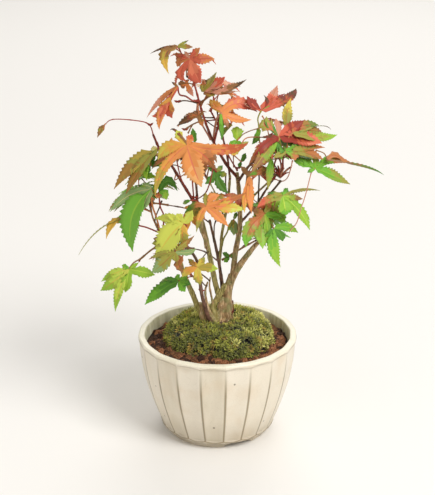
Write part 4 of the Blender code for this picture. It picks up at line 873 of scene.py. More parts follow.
@dataclass(frozen=True)
class GlazedStoneware:
    """Thrown stoneware under a cream semi-matt glaze.

    The lip's top carries a painted highlight, partly where the glaze runs thin. The seams between the
    flutes carry painted shadow over glaze pooled in them, dark lines run where the flutes end under the
    lip and above the foot, and the wall darkens towards the bottom. The glaze carries faint iron specks
    and a fine crackle.
    """

    centre: Pair
    flutes: int
    turn: float
    foot_line: float
    lip_line: float
    body: str = "E9DFCC"
    shade: str = "D4C8AE"
    warm: str = "DECCB0"
    dark_glaze_and_shadow: str = "8C7B5C"
    rim_highlight: str = "FFFAE0"
    iron: str = "5E4A30"
    streak_mm: Pair = (4.35, 38.5)
    crackle_mm: float = 2.4
    speck_mm: float = 1.3
    cloud_mm: float = 14.0
    waver_mm: float = 4.55

    def build(self) -> Material:
        """Makes the material.

        Returns:
            The glaze.
        """
        wide, long = (1 / (streak * MM) for streak in self.streak_mm)
        recipe = {
            "centred": ("Mapping", {"Location": (-self.centre[0] * MM, -self.centre[1] * MM, 0)},
                        {"Vector": PLACE}),
            "axes": ("SeparateXYZ", {}, {0: "centred"}),
            "height": ("Math:MULTIPLY", {1: 1 / MM}, {0: "axes:Z"}),
            "angle": ("Math:ARCTAN2", {}, {0: "axes:Y", 1: "axes:X"}),
            "turned": ("Math:SUBTRACT", {1: self.turn - math.tau}, {0: "angle"}),
            "count": ("Math:MULTIPLY", {1: self.flutes / math.tau}, {0: "turned"}),
            "plank": ("Math:FLOOR", {}, {0: "count"}),
            "phase": ("Math:FRACT", {}, {0: "count"}),
            "aside": ("Math:SUBTRACT", {1: 0.5}, {0: "phase"}),
            "edge": ("Math:ABSOLUTE", {}, {0: "aside"}),
            "mood": ("TexWhiteNoise", {"noise_dimensions": "1D"}, {"W": "plank"}),
            "streaks": ("Mapping", {"Scale": (wide, wide, long)}, {"Vector": PLACE}),
            "drift": ("TexNoise", {"Scale": 1.0, "Detail": 4.0}, {"Vector": "streaks"}),
            "blend": ("Math:MULTIPLY", {}, {0: "mood:Value", 1: "drift"}),
            "varied": ("Math:MULTIPLY", {1: 1.15}, {0: "blend"}),
            "wall": ("Mix", {"data_type": "RGBA", 6: linear(self.body), 7: linear(self.shade)},
                     {0: "varied"}),
            "clouds": ("TexNoise", {"Scale": 1 / (self.cloud_mm * MM), "Detail": 3.0}, {"Vector": PLACE}),
            "grooved": ("MapRange", {1: 0.44, 2: 0.47, 3: 0.0, 4: 0.86}, {0: "edge"}),
            "fading": ("MapRange", {1: 60.0, 2: 44.0, 3: 0.0, 4: 0.85}, {0: "height"}),
            "faded": ("Math:ADD", {1: 0.15}, {0: "fading"}),
            "lifted": ("Math:GREATER_THAN", {1: self.foot_line - 0.4}, {0: "height"}),
            "beneath": ("Math:LESS_THAN", {1: self.lip_line}, {0: "height"}),
            "within": ("Math:MULTIPLY", {}, {0: "lifted", 1: "beneath"}),
            "soft seam": ("Math:MULTIPLY", {}, {0: "grooved", 1: "faded"}),
            "cut seam": ("Math:MULTIPLY", {}, {0: "soft seam", 1: "within"}),
            "arched": ("Math:MULTIPLY", {1: math.pi}, {0: "phase"}),
            "bow": ("Math:SINE", {}, {0: "arched"}),
            "cells": ("TexVoronoi", {"feature": "DISTANCE_TO_EDGE", "Scale": 1 / (self.crackle_mm * MM)},
                      {"Vector": PLACE}),
            "dots": ("TexVoronoi", {"Scale": 1 / (9 * self.speck_mm * MM)}, {"Vector": PLACE}),
            "gloss": ("MapRange", {1: 0.3, 2: 0.7, 3: 0.28, 4: 0.45}, {0: "drift"}),
            "waver": ("TexNoise", {"Scale": 1 / (self.waver_mm * MM), "Detail": 4.0}, {"Vector": PLACE}),
            "bump": ("Bump", {"Strength": 0.14, "Distance": 0.4 * MM}, {"Height": "waver"}),
        }
        for name, line, rise in (("foot", self.foot_line, -1.2), ("lip", self.lip_line, 0.7)):
            recipe[name + " swing"] = ("Math:MULTIPLY", {1: rise}, {0: "bow"})
            recipe[name + " arc"] = ("Math:ADD", {1: line}, {0: name + " swing"})
            recipe[name + " gap"] = ("Math:SUBTRACT", {}, {0: "height", 1: name + " arc"})
            recipe[name + " off"] = ("Math:ABSOLUTE", {}, {0: name + " gap"})
        colour = paint_over(recipe, "wall:2", (
            ("warm", self.warm, "clouds", 0.5, 0.7, 0.5),
            ("low", self.dark_glaze_and_shadow, "height", 24.0, 1.0, 0.42),
            # seam: painted shadow at the step between flutes, over glaze pooled in the seam
            ("seam", self.dark_glaze_and_shadow, "cut seam", 0.0, 1.0, 1.0),
            ("foot line", self.dark_glaze_and_shadow, "foot off", 0.55, 0.22, 0.8),
            ("lip line", self.dark_glaze_and_shadow, "lip off", 0.5, 0.2, 0.34),
            # rim: painted highlight on the lip's top, partly the glaze running thin there
            ("rim", self.rim_highlight, "height", 63.2, 64.2, 0.5),
            ("crackle", self.dark_glaze_and_shadow, "cells", 0.03, 0.0, 0.12),
            ("specks", self.iron, "dots:Distance", 0.07, 0.045, 0.8),
        ))
        looks = {"Roughness": 0.34, "IOR": 1.52, "Coat Weight": 0.2, "Coat Roughness": 0.15}
        return new_material("glazed_stoneware_cream", looks, recipe,
                            {"Base Color": colour, "Roughness": "gloss", "Normal": "bump"})


@dataclass(frozen=True)
class WeatheredGlaze:
    """The mouth's inside glaze: water-stained grey-green, streaked downwards, lightened as painted light."""

    # painted light: both tones are lighter than the glaze outside, for the shaded inside of the mouth
    pale: str = "FBF8DA"
    stain: str = "D6D2AC"
    streak_mm: float = 3.0

    def build(self) -> Material:
        """Makes the material.

        Returns:
            The stained glaze.
        """
        wide = 1 / (self.streak_mm * MM)
        recipe = {
            "long": ("Mapping", {"Scale": (wide, wide, wide / 12)}, {"Vector": PLACE}),
            "streak": ("TexNoise", {"Scale": 1.0, "Detail": 4.0}, {"Vector": "long"}),
            "ramp": ("ValToRGB", {"stops": [(0.36, self.stain), (0.62, self.pale)]}, {0: "streak"}),
            "bump": ("Bump", {"Strength": 0.15, "Distance": 0.3 * MM}, {"Height": "streak"}),
        }
        return new_material("glaze_water_stained", {"Roughness": 0.55}, recipe,
                            {"Base Color": "ramp", "Normal": "bump"})


@dataclass(frozen=True)
class FiredClay:
    """Granules of low-fired clay soil: matt and porous, so each is mottled and drinks the light."""

    name: str
    dark: str
    pale: str
    grit_mm: float = 0.7

    def build(self) -> Material:
        """Makes the material.

        Returns:
            The clay.
        """
        recipe = {
            "grit": ("TexNoise", {"Scale": 1 / (self.grit_mm * MM), "Detail": 4.0}, {"Vector": PLACE}),
            "ramp": ("ValToRGB", {"stops": [(0.38, self.dark), (0.66, self.pale)]}, {0: "grit"}),
            "bump": ("Bump", {"Strength": 0.6, "Distance": 0.25 * MM}, {"Height": "grit"}),
        }
        return new_material(self.name, {"Roughness": 0.92}, recipe, {"Base Color": "ramp", "Normal": "bump"})


@dataclass(frozen=True)
class CushionMoss:
    """Living cushion moss: soft, matt, faintly sheened; paler at new tips, with painted shade at the feet."""

    name: str
    dark: str
    pale: str
    patch_mm: float = 2.0

    def build(self) -> Material:
        """Makes the material.

        Returns:
            The moss.
        """
        recipe = {
            "patch": ("TexNoise", {"Scale": 1 / (self.patch_mm * MM), "Detail": 3.0}, {"Vector": PLACE}),
            "tip": ("Attribute", {"attribute_name": "tip"}, {}),
            # painted shade: darker towards each star's foot, deep in the cushion; paler towards its new tips
            "share": ("Math:MULTIPLY_ADD", {1: 0.9, 2: -0.4}, {0: "tip:Fac"}),
            "both": ("Math:ADD", {}, {0: "share", 1: "patch"}),
            "ramp": ("ValToRGB", {"stops": [(0.12, self.dark), (0.85, self.pale)]}, {0: "both"}),
        }
        looks = {"Roughness": 0.85, "Sheen Weight": 0.25, "Sheen Roughness": 0.5}
        return new_material(self.name, looks, recipe, {"Base Color": "ramp"})


@dataclass(frozen=True)
class YoungBark:
    """The smooth young bark of a maple: thin, satin, finely lined along the stem, with pale pores, and
    darkened by painted shade where its hollow attribute marks hollows.
    """

    name: str
    dark: str
    middle: str
    pale: str
    blotch: str
    line_mm: float = 0.9
    pore_mm: float = 2.6
    blotch_mm: float = 4.5

    def build(self) -> Material:
        """Makes the material.

        Returns:
            The bark.
        """
        wide = 1 / (self.line_mm * MM)
        tones = [(0.34, self.dark), (0.52, self.middle), (0.72, self.pale)]
        recipe = {
            "long": ("Mapping", {"Scale": (wide, wide, wide / 7)}, {"Vector": PLACE}),
            "lines": ("TexNoise", {"Scale": 1.0, "Detail": 5.0, "Roughness": 0.6}, {"Vector": "long"}),
            "ramp": ("ValToRGB", {"stops": tones}, {0: "lines"}),
            "clouds": ("TexNoise", {"Scale": 1 / (self.blotch_mm * MM), "Detail": 3.0}, {"Vector": PLACE}),
            "dots": ("TexVoronoi", {"Scale": 1 / (self.pore_mm * MM)}, {"Vector": PLACE}),
            "hollow": ("Attribute", {"attribute_name": "hollow"}, {}),
            "bump": ("Bump", {"Strength": 0.5, "Distance": 0.2 * MM}, {"Height": "lines"}),
        }
        colour = paint_over(recipe, "ramp", (
            ("blotches", self.blotch, "clouds", 0.48, 0.62, 0.75),
            ("pores", self.pale, "dots:Distance", 0.16, 0.08, 0.6),
            # painted shade in the skin's hollows and where the stems meet the moss, from the hollow attribute
            ("grooves", self.dark, "hollow:Fac", 0.05, 0.5, 0.85),
        ))
        return new_material(self.name, {"Roughness": 0.6}, recipe, {"Base Color": colour, "Normal": "bump"})


@dataclass(frozen=True)
class AutumnLeaf:
    """A thin maple leaf in one autumn colour: plain colour, half-gloss, with a finely puckered skin."""

    tint: Tint
    pucker_mm: float = 0.8

    def build(self) -> Material:
        """Makes the material.

        Returns:
            The leaf's skin.
        """
        recipe = {
            "pucker": ("TexNoise", {"Scale": 1 / (self.pucker_mm * MM), "Detail": 2.0}, {"Vector": PLACE}),
            "bump": ("Bump", {"Strength": 0.3, "Distance": 0.15 * MM}, {"Height": "pucker"}),
        }
        looks = {"Roughness": 0.5, "IOR": 1.42, "Base Color": linear(self.tint.value)}
        return new_material("maple_leaf_" + self.tint.name.lower(), looks, recipe, {"Normal": "bump"})


@dataclass(frozen=True)
class Sight:
    """The viewer's place, from which the shown leaves were measured."""

    eye: Vector = Vector((0.0, -726.9, 399.0))
    pitch: float = math.radians(20.85)
    deepest: float = 12.0
    reach: float = 800.0

    @property
    def ahead(self) -> Vector:
        """The way the viewer looks."""
        return Vector((0.0, math.cos(self.pitch), -math.sin(self.pitch)))

    @property
    def up(self) -> Vector:
        """The viewer's upward direction."""
        return Vector((0.0, math.sin(self.pitch), math.cos(self.pitch)))

    def lay(self, heart: Vector, right: float, up: float, face: Vector) -> Vector:
        """Finds where a seen place lies on a leaf.

        Args:
            heart: the leaf's heart.
            right: how far right of the heart the place is seen.
            up: how far above it.
            face: the way the leaf faces.

        Returns:
            The place, kept within a depth of the heart.
        """
        seen = heart + Vector((right, 0, 0)) + self.up * up
        ray = (seen - self.eye).normalized()
        depth = -(seen - heart).dot(face) / ray.dot(face)
        return seen + ray * max(-self.deepest, min(self.deepest, depth))

    def flat(self, point: Vector) -> Pair:
        """Finds where a point is seen.

        Args:
            point: the point.

        Returns:
            How far right and up it is, in millimetres at the viewer's reach.
        """
        way = point - self.eye
        scale = self.reach / way.dot(self.ahead)
        return way.x * scale, way.dot(self.up) * scale


@dataclass
class Shade:
    """What the shown leaves cover from the viewer, on a fine grid, so that others can hide behind them."""

    sight: Sight
    cell: float = 0.5
    size: int = 700
    spread: int = 2
    clear: float = 1.5

    def __post_init__(self) -> None:
        """Starts with nothing covered."""
        self.grid = np.full((self.size, self.size), np.inf)

    def cell_of(self, point: Vector) -> tuple[int, int, float]:
        """Returns the row and column of the cell that a point is seen in, and how far off it is."""
        column, row = (self.size // 2 + round(place / self.cell) for place in self.sight.flat(point))
        return row, column, (point - self.sight.eye).dot(self.sight.ahead)

    def cover(self, points: list[Vector]) -> None:
        """Covers the cells round points.

        Args:
            points: points that lie closer together than the cover of each.
        """
        for point in points:
            row, column, way = self.cell_of(point)
            rows = slice(row - self.spread, row + self.spread + 1)
            patch = self.grid[rows, column - self.spread:column + self.spread + 1]
            np.minimum(patch, way, out=patch)

    def share(self, points: list[Vector]) -> float:
        """Returns the share of points that are seen behind what is covered."""
        cells = [self.cell_of(point) for point in points]
        return sum(self.grid[row, column] < way - self.clear for row, column, way in cells) / len(cells)


@dataclass(frozen=True)
class Rib:
    """A lobe in space: the middle and tip of its rib, half its width, its colours and its roll."""

    middle: Vector
    tip: Vector
    half: float
    base: Tint
    end: Tint
    roll: float = 0.0

    def at(self, heart: Vector, t: float) -> Vector:
        """Returns the rib's point at a share of its length from the heart."""
        control = self.middle * 2 - (heart + self.tip) / 2
        return heart * (1 - t) ** 2 + control * 2 * t * (1 - t) + self.tip * t * t

    def along(self, heart: Vector, t: float) -> Vector:
        """Returns the rib's direction at a share of its length."""
        control = self.middle * 2 - (heart + self.tip) / 2
        return ((control - heart) * (1 - t) + (self.tip - control) * t).normalized()


@dataclass
class Blade:
    """A maple leaf as it is cut: lobes fanned from the heart, parted by sharp bays and toothed to the tip.

    "seen" says that the lobes' widths are as the viewer sees them.
    """

    sight: Sight
    heart: Vector
    face: Vector
    ribs: list[Rib]
    seen: bool
    rng: random.Random
    bay_rows: int = 3
    row_spacing: float = 1.15
    columns: tuple[float, ...] = (-1.0, -0.55, -0.08, 0.0, 0.08, 0.55, 1.0)
    tooth_out: float = 0.13
    tooth_in: float = 0.1
    slant: float = 0.5
    fold: float = 0.2
    pleat: float = 0.12
    widest: float = 0.45
    bay_share: float = 0.8
    open_angle: float = math.radians(105)
    basal_spread: float = math.radians(48)

    def __post_init__(self) -> None:
        """Starts with the heart alone, and the way each rib sets out from it."""
        self.points, self.faces, self.slots = [self.heart], [], []
        self.aims = [(rib.at(self.heart, 0.3) - self.heart).normalized() for rib in self.ribs]

    def profile(self, t: float) -> float:
        """Gives a lobe its outline, drawn out to its tip.

        Args:
            t: a share of the lobe's length.

        Returns:
            The share of its full width there.
        """
        if t < self.widest:
            return 0.62 + 0.38 * math.sin(t / self.widest * math.pi / 2)
        rest = (t - self.widest) / (1 - self.widest)
        return (1 - rest ** 1.5) ** 1.15

    def cut(self, draft: Draft) -> list[Vector]:
        """Cuts the leaf.

        Args:
            draft: the mesh that takes it.

        Returns:
            Its points.
        """
        right = self.face.orthogonal().normalized()
        ahead = self.face.cross(right)
        bearings = [math.atan2(aim.dot(ahead), aim.dot(right)) for aim in self.aims]
        order = sorted(range(len(self.ribs)), key=lambda index: bearings[index])
        gaps = [(bearings[after] - bearings[index]) % math.tau
                for index, after in zip(order, order[1:] + order[:1])]
        if len(order) == 1:
            gaps = [math.tau]
        start = (gaps.index(max(gaps)) + 1) % len(order)
        order, gaps = order[start:] + order[:start], gaps[start:] + gaps[:start]
        right_edge = self._edge(self._free_bay(order[0], 1))
        for index, other, gap in zip(order, [*order[1:], None], gaps):
            if other is None or gap > self.open_angle:
                left_edge = self._edge(self._free_bay(index, -1))
                after = None if other is None else self._edge(self._free_bay(other, 1))
            else:
                left_edge = after = self._edge(self._shared_bay(index, other, gap))
            self._lobe(self.ribs[index], left_edge, right_edge)
            right_edge = after
        draft.add(self.points, self.faces, self.slots)
        return self.points

    def _free_bay(self, index: int, side: int) -> Vector:
        """Finds the end of a lobe's own edge, where it has no neighbour.

        Args:
            index: the lobe's number.
            side: 1 to its right, -1 to its left.

        Returns:
            The end of the edge.
        """
        rib, aim = self.ribs[index], self.aims[index]
        across = aim.cross(self.face).normalized() * side
        spread = aim * math.cos(self.basal_spread) + across * math.sin(self.basal_spread)
        reach = min(0.4 * (rib.tip - self.heart).length, 0.8 * rib.half / math.sin(self.basal_spread))
        return self.heart + spread * reach

    def _shared_bay(self, index: int, other: int, gap: float) -> Vector:
        """Finds the end of the edge that two neighbours share.

        Args:
            index: the number of one lobe.
            other: the number of the next.
            gap: the angle between them.

        Returns:
            The end of the edge.
        """
        rib, after = self.ribs[index], self.ribs[other]
        half = (rib.half + after.half) / 2
        reach = self.bay_share * half / math.sin(max(0.12, gap / 2))
        shortest = min((rib.tip - self.heart).length, (after.tip - self.heart).length)
        reach = min(0.42 * shortest, max(0.14 * shortest, reach))
        return self.heart + (self.aims[index] + self.aims[other]).normalized() * reach

    def _edge(self, bay: Vector) -> list[int]:
        """Adds the points of an edge from the heart to a bay, and returns their numbers."""
        self.points.extend(self.heart.lerp(bay, (row + 1) / self.bay_rows) for row in range(self.bay_rows))
        return list(range(len(self.points) - self.bay_rows, len(self.points)))

    def _lobe(self, rib: Rib, left: list[int], right: list[int]) -> None:
        """Adds one lobe between its two edges.

        Args:
            rib: the lobe.
            left: the points of its left edge.
            right: the points of its right edge.
        """
        points, heart = self.points, self.heart
        length = (rib.tip - heart).length
        bays = [points[left[-1]], points[right[-1]]]
        aim = rib.along(heart, 0.15)
        start = min((bay - heart).dot(aim) for bay in bays) / length - self.slant * rib.half / length
        start = min(0.4, max(0.1, start))
        free = 2 * max(4, min(13, round(length * (1 - start) / self.row_spacing / 2)))
        sway = self.rng.choice((-1, 1))
        rows, shares = [[0] * len(self.columns)], [0.0]
        for row in range(self.bay_rows):
            t = start * (row + 1) / self.bay_rows
            spine = rib.at(heart, t)
            made = []
            for column in self.columns:
                edge = left[row] if column < 0 else right[row]
                if abs(column) == 1.0:
                    made.append(edge)
                else:
                    made.append(len(points))
                    points.append(spine.lerp(points[edge], abs(column)))
            rows.append(made)
            shares.append(t)
        for row in range(1, free):
            t = start + (1 - start) * (row / free) ** 0.95
            rows.append(self._row(rib, t, row, sway, bays))
            shares.append(t)
        points.append(rib.tip.copy())
        rows.append([len(points) - 1] * len(self.columns))
        for low, high, share in zip(rows, rows[1:], shares):
            for column in range(len(self.columns) - 1):
                corners = (low[column], low[column + 1], high[column + 1], high[column])
                self.faces.append(tuple(dict.fromkeys(corners)))
                self.slots.append(self._slot(points[corners[0]], share, column, rib))

    def _row(self, rib: Rib, t: float, row: int, sway: int, bays: list[Vector]) -> list[int]:
        """Adds one row of points across the free part of a lobe.

        Args:
            rib: the lobe.
            t: the row's share of the lobe's length.
            row: the row's number from the bays.
            sway: the way the lobe rolls, 1 or -1.
            bays: the ends of its left and right edges.

        Returns:
            The numbers of the row's points.
        """
        spine, aim = rib.at(self.heart, t), rib.along(self.heart, t)
        across = aim.cross(self.face).normalized()
        over = across.cross(aim)
        roll = math.radians(rib.roll) * sway * eased(min(1.0, row / 5))
        across, over = (across * math.cos(roll) + over * math.sin(roll),
                        over * math.cos(roll) - across * math.sin(roll))
        wide = 1.0
        if self.seen:
            ray = (spine - self.sight.eye).normalized()
            wide = min(1.7, math.sqrt(max(0.05, 1 - aim.dot(ray) ** 2)) / max(0.25, abs(over.dot(ray))))
        half = rib.half * wide * self.profile(t)
        tooth, lift = (1 + self.tooth_out, self.pleat) if row % 2 else (1 - self.tooth_in, -self.pleat)
        blend = eased(row / 3)
        made = []
        for column in self.columns:
            bay = bays[0] if column < 0 else bays[1]
            near = (bay - spine).dot(across * (1 if column > 0 else -1))
            reach = max(0.2, near) * (1 - blend) + half * blend
            reach *= abs(column) * (1 + (tooth - 1) * blend if abs(column) == 1.0 else 1)
            side = across * math.copysign(reach, column) if column else Vector((0, 0, 0))
            bend = over * (self.fold * reach + lift * (abs(column) ** 2) * min(1.0, half))
            made.append(len(self.points))
            self.points.append(spine + side + bend + aim * (self.slant * reach))
        return made

    def _slot(self, spot: Vector, share: float, column: int, rib: Rib) -> int:
        """Picks a face's colour: from base to tip, sooner at the edges, with a vein on the rib.

        Args:
            spot: a corner of the face.
            share: its share of the lobe's length.
            column: its column across the lobe.
            rib: the lobe.

        Returns:
            The colour's place in the palette.
        """
        middle = len(self.columns) // 2
        turned = (share - 0.12) / 0.8 + 0.45 * noise.noise(spot * 0.3) + 0.16 * noise.noise(spot * 1.9)
        turned += 0.1 if column in (0, len(self.columns) - 2) else 0.0
        tint = between(rib.base, rib.end, round(6 * eased(turned)))
        if column in (middle - 1, middle) and share < 0.8:
            tint = between(tint, VEINS.get(rib.base, rib.base), 3)
        return PALETTE.index(tint)


@dataclass
class Foliage:
    """The leaves: the shown ones as measured, and by rule the others, which hide behind them."""

    shop: Workshop
    sight: Sight
    thickness: float = 0.18
    first_node: float = 0.3
    climb: float = 0.618
    twig_reach: Pair = (5.0, 12.0)
    twig_radius: float = 0.45
    twig_bend: float = 0.8
    stalk_reach: Pair = (6.0, 11.0)
    stalk_radius: float = 0.34
    stalk_arch: float = 0.12
    span: Pair = (12.0, 20.0)
    lean: Pair = (-0.1, 0.5)
    droop: Pair = (0.1, 0.8)
    angles: tuple[float, ...] = (0.0, 41.0, -41.0, 80.0, -80.0, 120.0, -120.0)
    lengths: tuple[float, ...] = (1.0, 0.9, 0.9, 0.66, 0.66, 0.36, 0.36)
    slimness: float = 0.15
    outward: float = 0.5
    most_turn: float = 0.45
    stray: float = 0.12
    curl: Pair = (-0.16, 0.26)
    apart: float = 7.0
    hidden: float = 0.97
    twig_hidden: float = 0.6
    tries: int = 1600
    box_margin: float = 3.0
    seed: int = 5

    def __post_init__(self) -> None:
        """Starts with no leaf cut."""
        self.drafts = {hue: Draft() for hue in Hue}
        self.shade = Shade(self.sight)
        self.hearts: list[tuple[Vector, Vector]] = []
        self.side_twigs: list[tuple[list[Vector], float]] = []

    def face(self, lean: float, turn: float, roll: float = 0.0) -> Vector:
        """Returns the way a leaf faces: leant to the viewer, rolled, and turned about the vertical."""
        way = Vector((0, -math.sin(lean * math.pi / 2), math.cos(lean * math.pi / 2)))
        return Matrix.Rotation(turn, 3, "Z") @ (Matrix.Rotation(roll, 3, "Y") @ way)

    def cut_shown(self) -> None:
        """Cuts the leaves that the photograph shows."""
        rng = random.Random(self.seed)
        for leaf in (*TOP_LEAVES, *RIGHT_LEAVES, *MIDDLE_LEAVES, *LEFT_LEAVES):
            heart = Vector(leaf.heart)
            outward = max(-self.most_turn, min(self.most_turn, self.outward * math.atan2(heart.x, -heart.y)))
            outward += rng.uniform(-self.stray, self.stray)
            face = self.face(leaf.lean, outward, self.outward * outward)
            ribs = []
            for lobe in leaf.lobes:
                tip = self.sight.lay(heart, lobe.right, lobe.up, face)
                via = lobe.via or (lobe.right / 2, lobe.up / 2)
                middle = self.sight.lay(heart, *via, face)
                length = (tip - heart).length
                curl = (tip - self.sight.eye).normalized() * length * rng.uniform(*self.curl)
                ribs.append(Rib(middle, tip + curl, lobe.width / 2, lobe.base, lobe.end, lobe.roll))
            self.shade.cover(Blade(self.sight, heart, face, ribs, True, rng).cut(self.drafts[leaf.hue]))
            self.hearts.append((heart, sum((rib.tip - heart for rib in ribs), Vector()).normalized()))

    def cut_hidden(self, spray: Spray) -> None:
        """Grows side twigs by rule on a spray, and cuts their leaves where they hide and keep its reach.

        Args:
            spray: the spray.
        """
        if not spray.twigs:
            return
        rng = random.Random(spray.name)
        low, high = (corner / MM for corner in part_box(spray.name))
        low = low - self.shop.axis - Vector((self.box_margin,) * 3)
        high = high - self.shop.axis + Vector((self.box_margin,) * 3)
        shoot = smooth_route(spray.shoot, 1.5)
        axis = (shoot[-1] - shoot[0]).normalized()
        made = 0
        for attempt in range(self.tries):
            if made == spray.twigs:
                break
            share = self.first_node + (1 - self.first_node) * ((attempt * self.climb) % 1.0)
            node = shoot[round(share * (len(shoot) - 1))]
            out = Matrix.Rotation(attempt * GOLDEN, 3, axis) @ axis.orthogonal().normalized()
            out = (axis * rng.uniform(0.3, 0.9) + out).normalized()
            out.z = max(out.z, -0.25)
            fork = node + out * rng.uniform(*self.twig_reach)
            if self.shade.share([node.lerp(fork, t) for t in (0.4, 0.7, 1.0)]) < self.twig_hidden:
                continue
            hearts = []
            for side in (-1, 1):
                heart, face, ribs = self._rule_leaf(fork, out, side, spray, rng)
                if self._fits(fork, heart, ribs, low, high):
                    Blade(self.sight, heart, face, ribs, False, rng).cut(self.drafts[spray.hue])
                    hearts.append(heart)
            if not hearts:
                continue
            made += 1
            bend = node.lerp(fork, 0.5) + Vector((0, 0, rng.uniform(-self.twig_bend, self.twig_bend)))
            self.side_twigs.append(([node, bend, fork], self.twig_radius))
            for heart in hearts:
                rise = fork.lerp(heart, 0.5) + Vector((0, 0, (heart - fork).length * self.stalk_arch))
                self.side_twigs.append(([fork, rise, heart], self.stalk_radius))

    def _rule_leaf(self, fork: Vector, out: Vector, side: int, spray: Spray,
                   rng: random.Random) -> tuple[Vector, Vector, list[Rib]]:
        """Lays out one leaf of a pair by rule.

        Args:
            fork: the end of its twig.
            out: the way the twig grows.
            side: which of the pair it is, -1 or 1.
            spray: its spray.
            rng: the source of chance.

        Returns:
            Its heart, the way it faces and its lobes.
        """
        across = out.cross(Vector((0, 0, 1))).normalized() * side
        way = (out + across * rng.uniform(0.5, 1.1) + Vector((0, 0, rng.uniform(0.0, 0.5)))).normalized()
        heart = fork + way * rng.uniform(*self.stalk_reach)
        aim = Vector((way.x, way.y, 0)).normalized() - Vector((0, 0, rng.uniform(*self.droop)))
        aim.normalize()
        face = self.face(rng.uniform(*self.lean), math.atan2(heart.x, -heart.y) * 0.6)
        face = (face - aim * face.dot(aim)).normalized()
        span = rng.uniform(*self.span)
        base, end = rng.choice(RULE_TINTS[spray.hue])
        ribs = []
        for angle, length in zip(self.angles, self.lengths):
            turned = Matrix.Rotation(math.radians(angle + rng.uniform(-6, 6)), 3, face) @ aim
            reach = span * length * rng.uniform(0.9, 1.06)
            middle = heart + turned * reach * 0.5 + face * reach * 0.05
            tip = heart + turned * reach * 0.97 - face * reach * rng.uniform(-0.02, 0.16)
            ribs.append(Rib(middle, tip, self.slimness * reach * rng.uniform(0.9, 1.15), base, end))
        return heart, face, ribs

    def _fits(self, fork: Vector, heart: Vector, ribs: list[Rib], low: Vector, high: Vector) -> bool:
        """Decides whether a leaf keeps to its spray's reach and hides behind the shown leaves.

        Args:
            fork: where its stalk starts.
            heart: the leaf's heart.
            ribs: its lobes.
            low: the lowest corner of the reach.
            high: the highest corner.

        Returns:
            Whether the leaf can stay, which it is then noted to do.
        """
        points = [heart] + [rib.tip for rib in ribs]
        if any(not low[i] <= point[i] <= high[i] for point in points for i in range(3)):
            return False
        if any((heart - other).length < self.apart for other, _ in self.hearts):
            return False
        if self.shade.share([fork.lerp(heart, t) for t in (0.3, 0.6, 0.9)]) < self.twig_hidden:
            return False
        for rib in ribs:
            across = (rib.tip - heart).cross(self.sight.ahead).normalized() * rib.half
            for t in (0.35, 0.55, 0.8):
                points += [rib.at(heart, t) + across * (1.3 - t), rib.at(heart, t) - across * (1.3 - t)]
        if self.shade.share(points) < self.hidden:
            return False
        self.hearts.append((heart, Vector((0, 0, 1))))
        return True

    def build(self) -> None:
        """Builds the joined pieces of leaves, one for each hue."""
        finishes = [AutumnLeaf(tint).build() for tint in PALETTE]
        for hue, draft in self.drafts.items():
            piece = self.shop.mesh(hue.value, draft, finishes)
            solid = piece.modifiers.new("thickness", "SOLIDIFY")
            solid.thickness = self.thickness * MM
            solid.offset = 0.0
            self.shop.settle(piece)
            nodes = [spray.name for spray in SPRAYS if spray.hue == hue]
            self.shop.declare(piece, hue.value, *nodes)


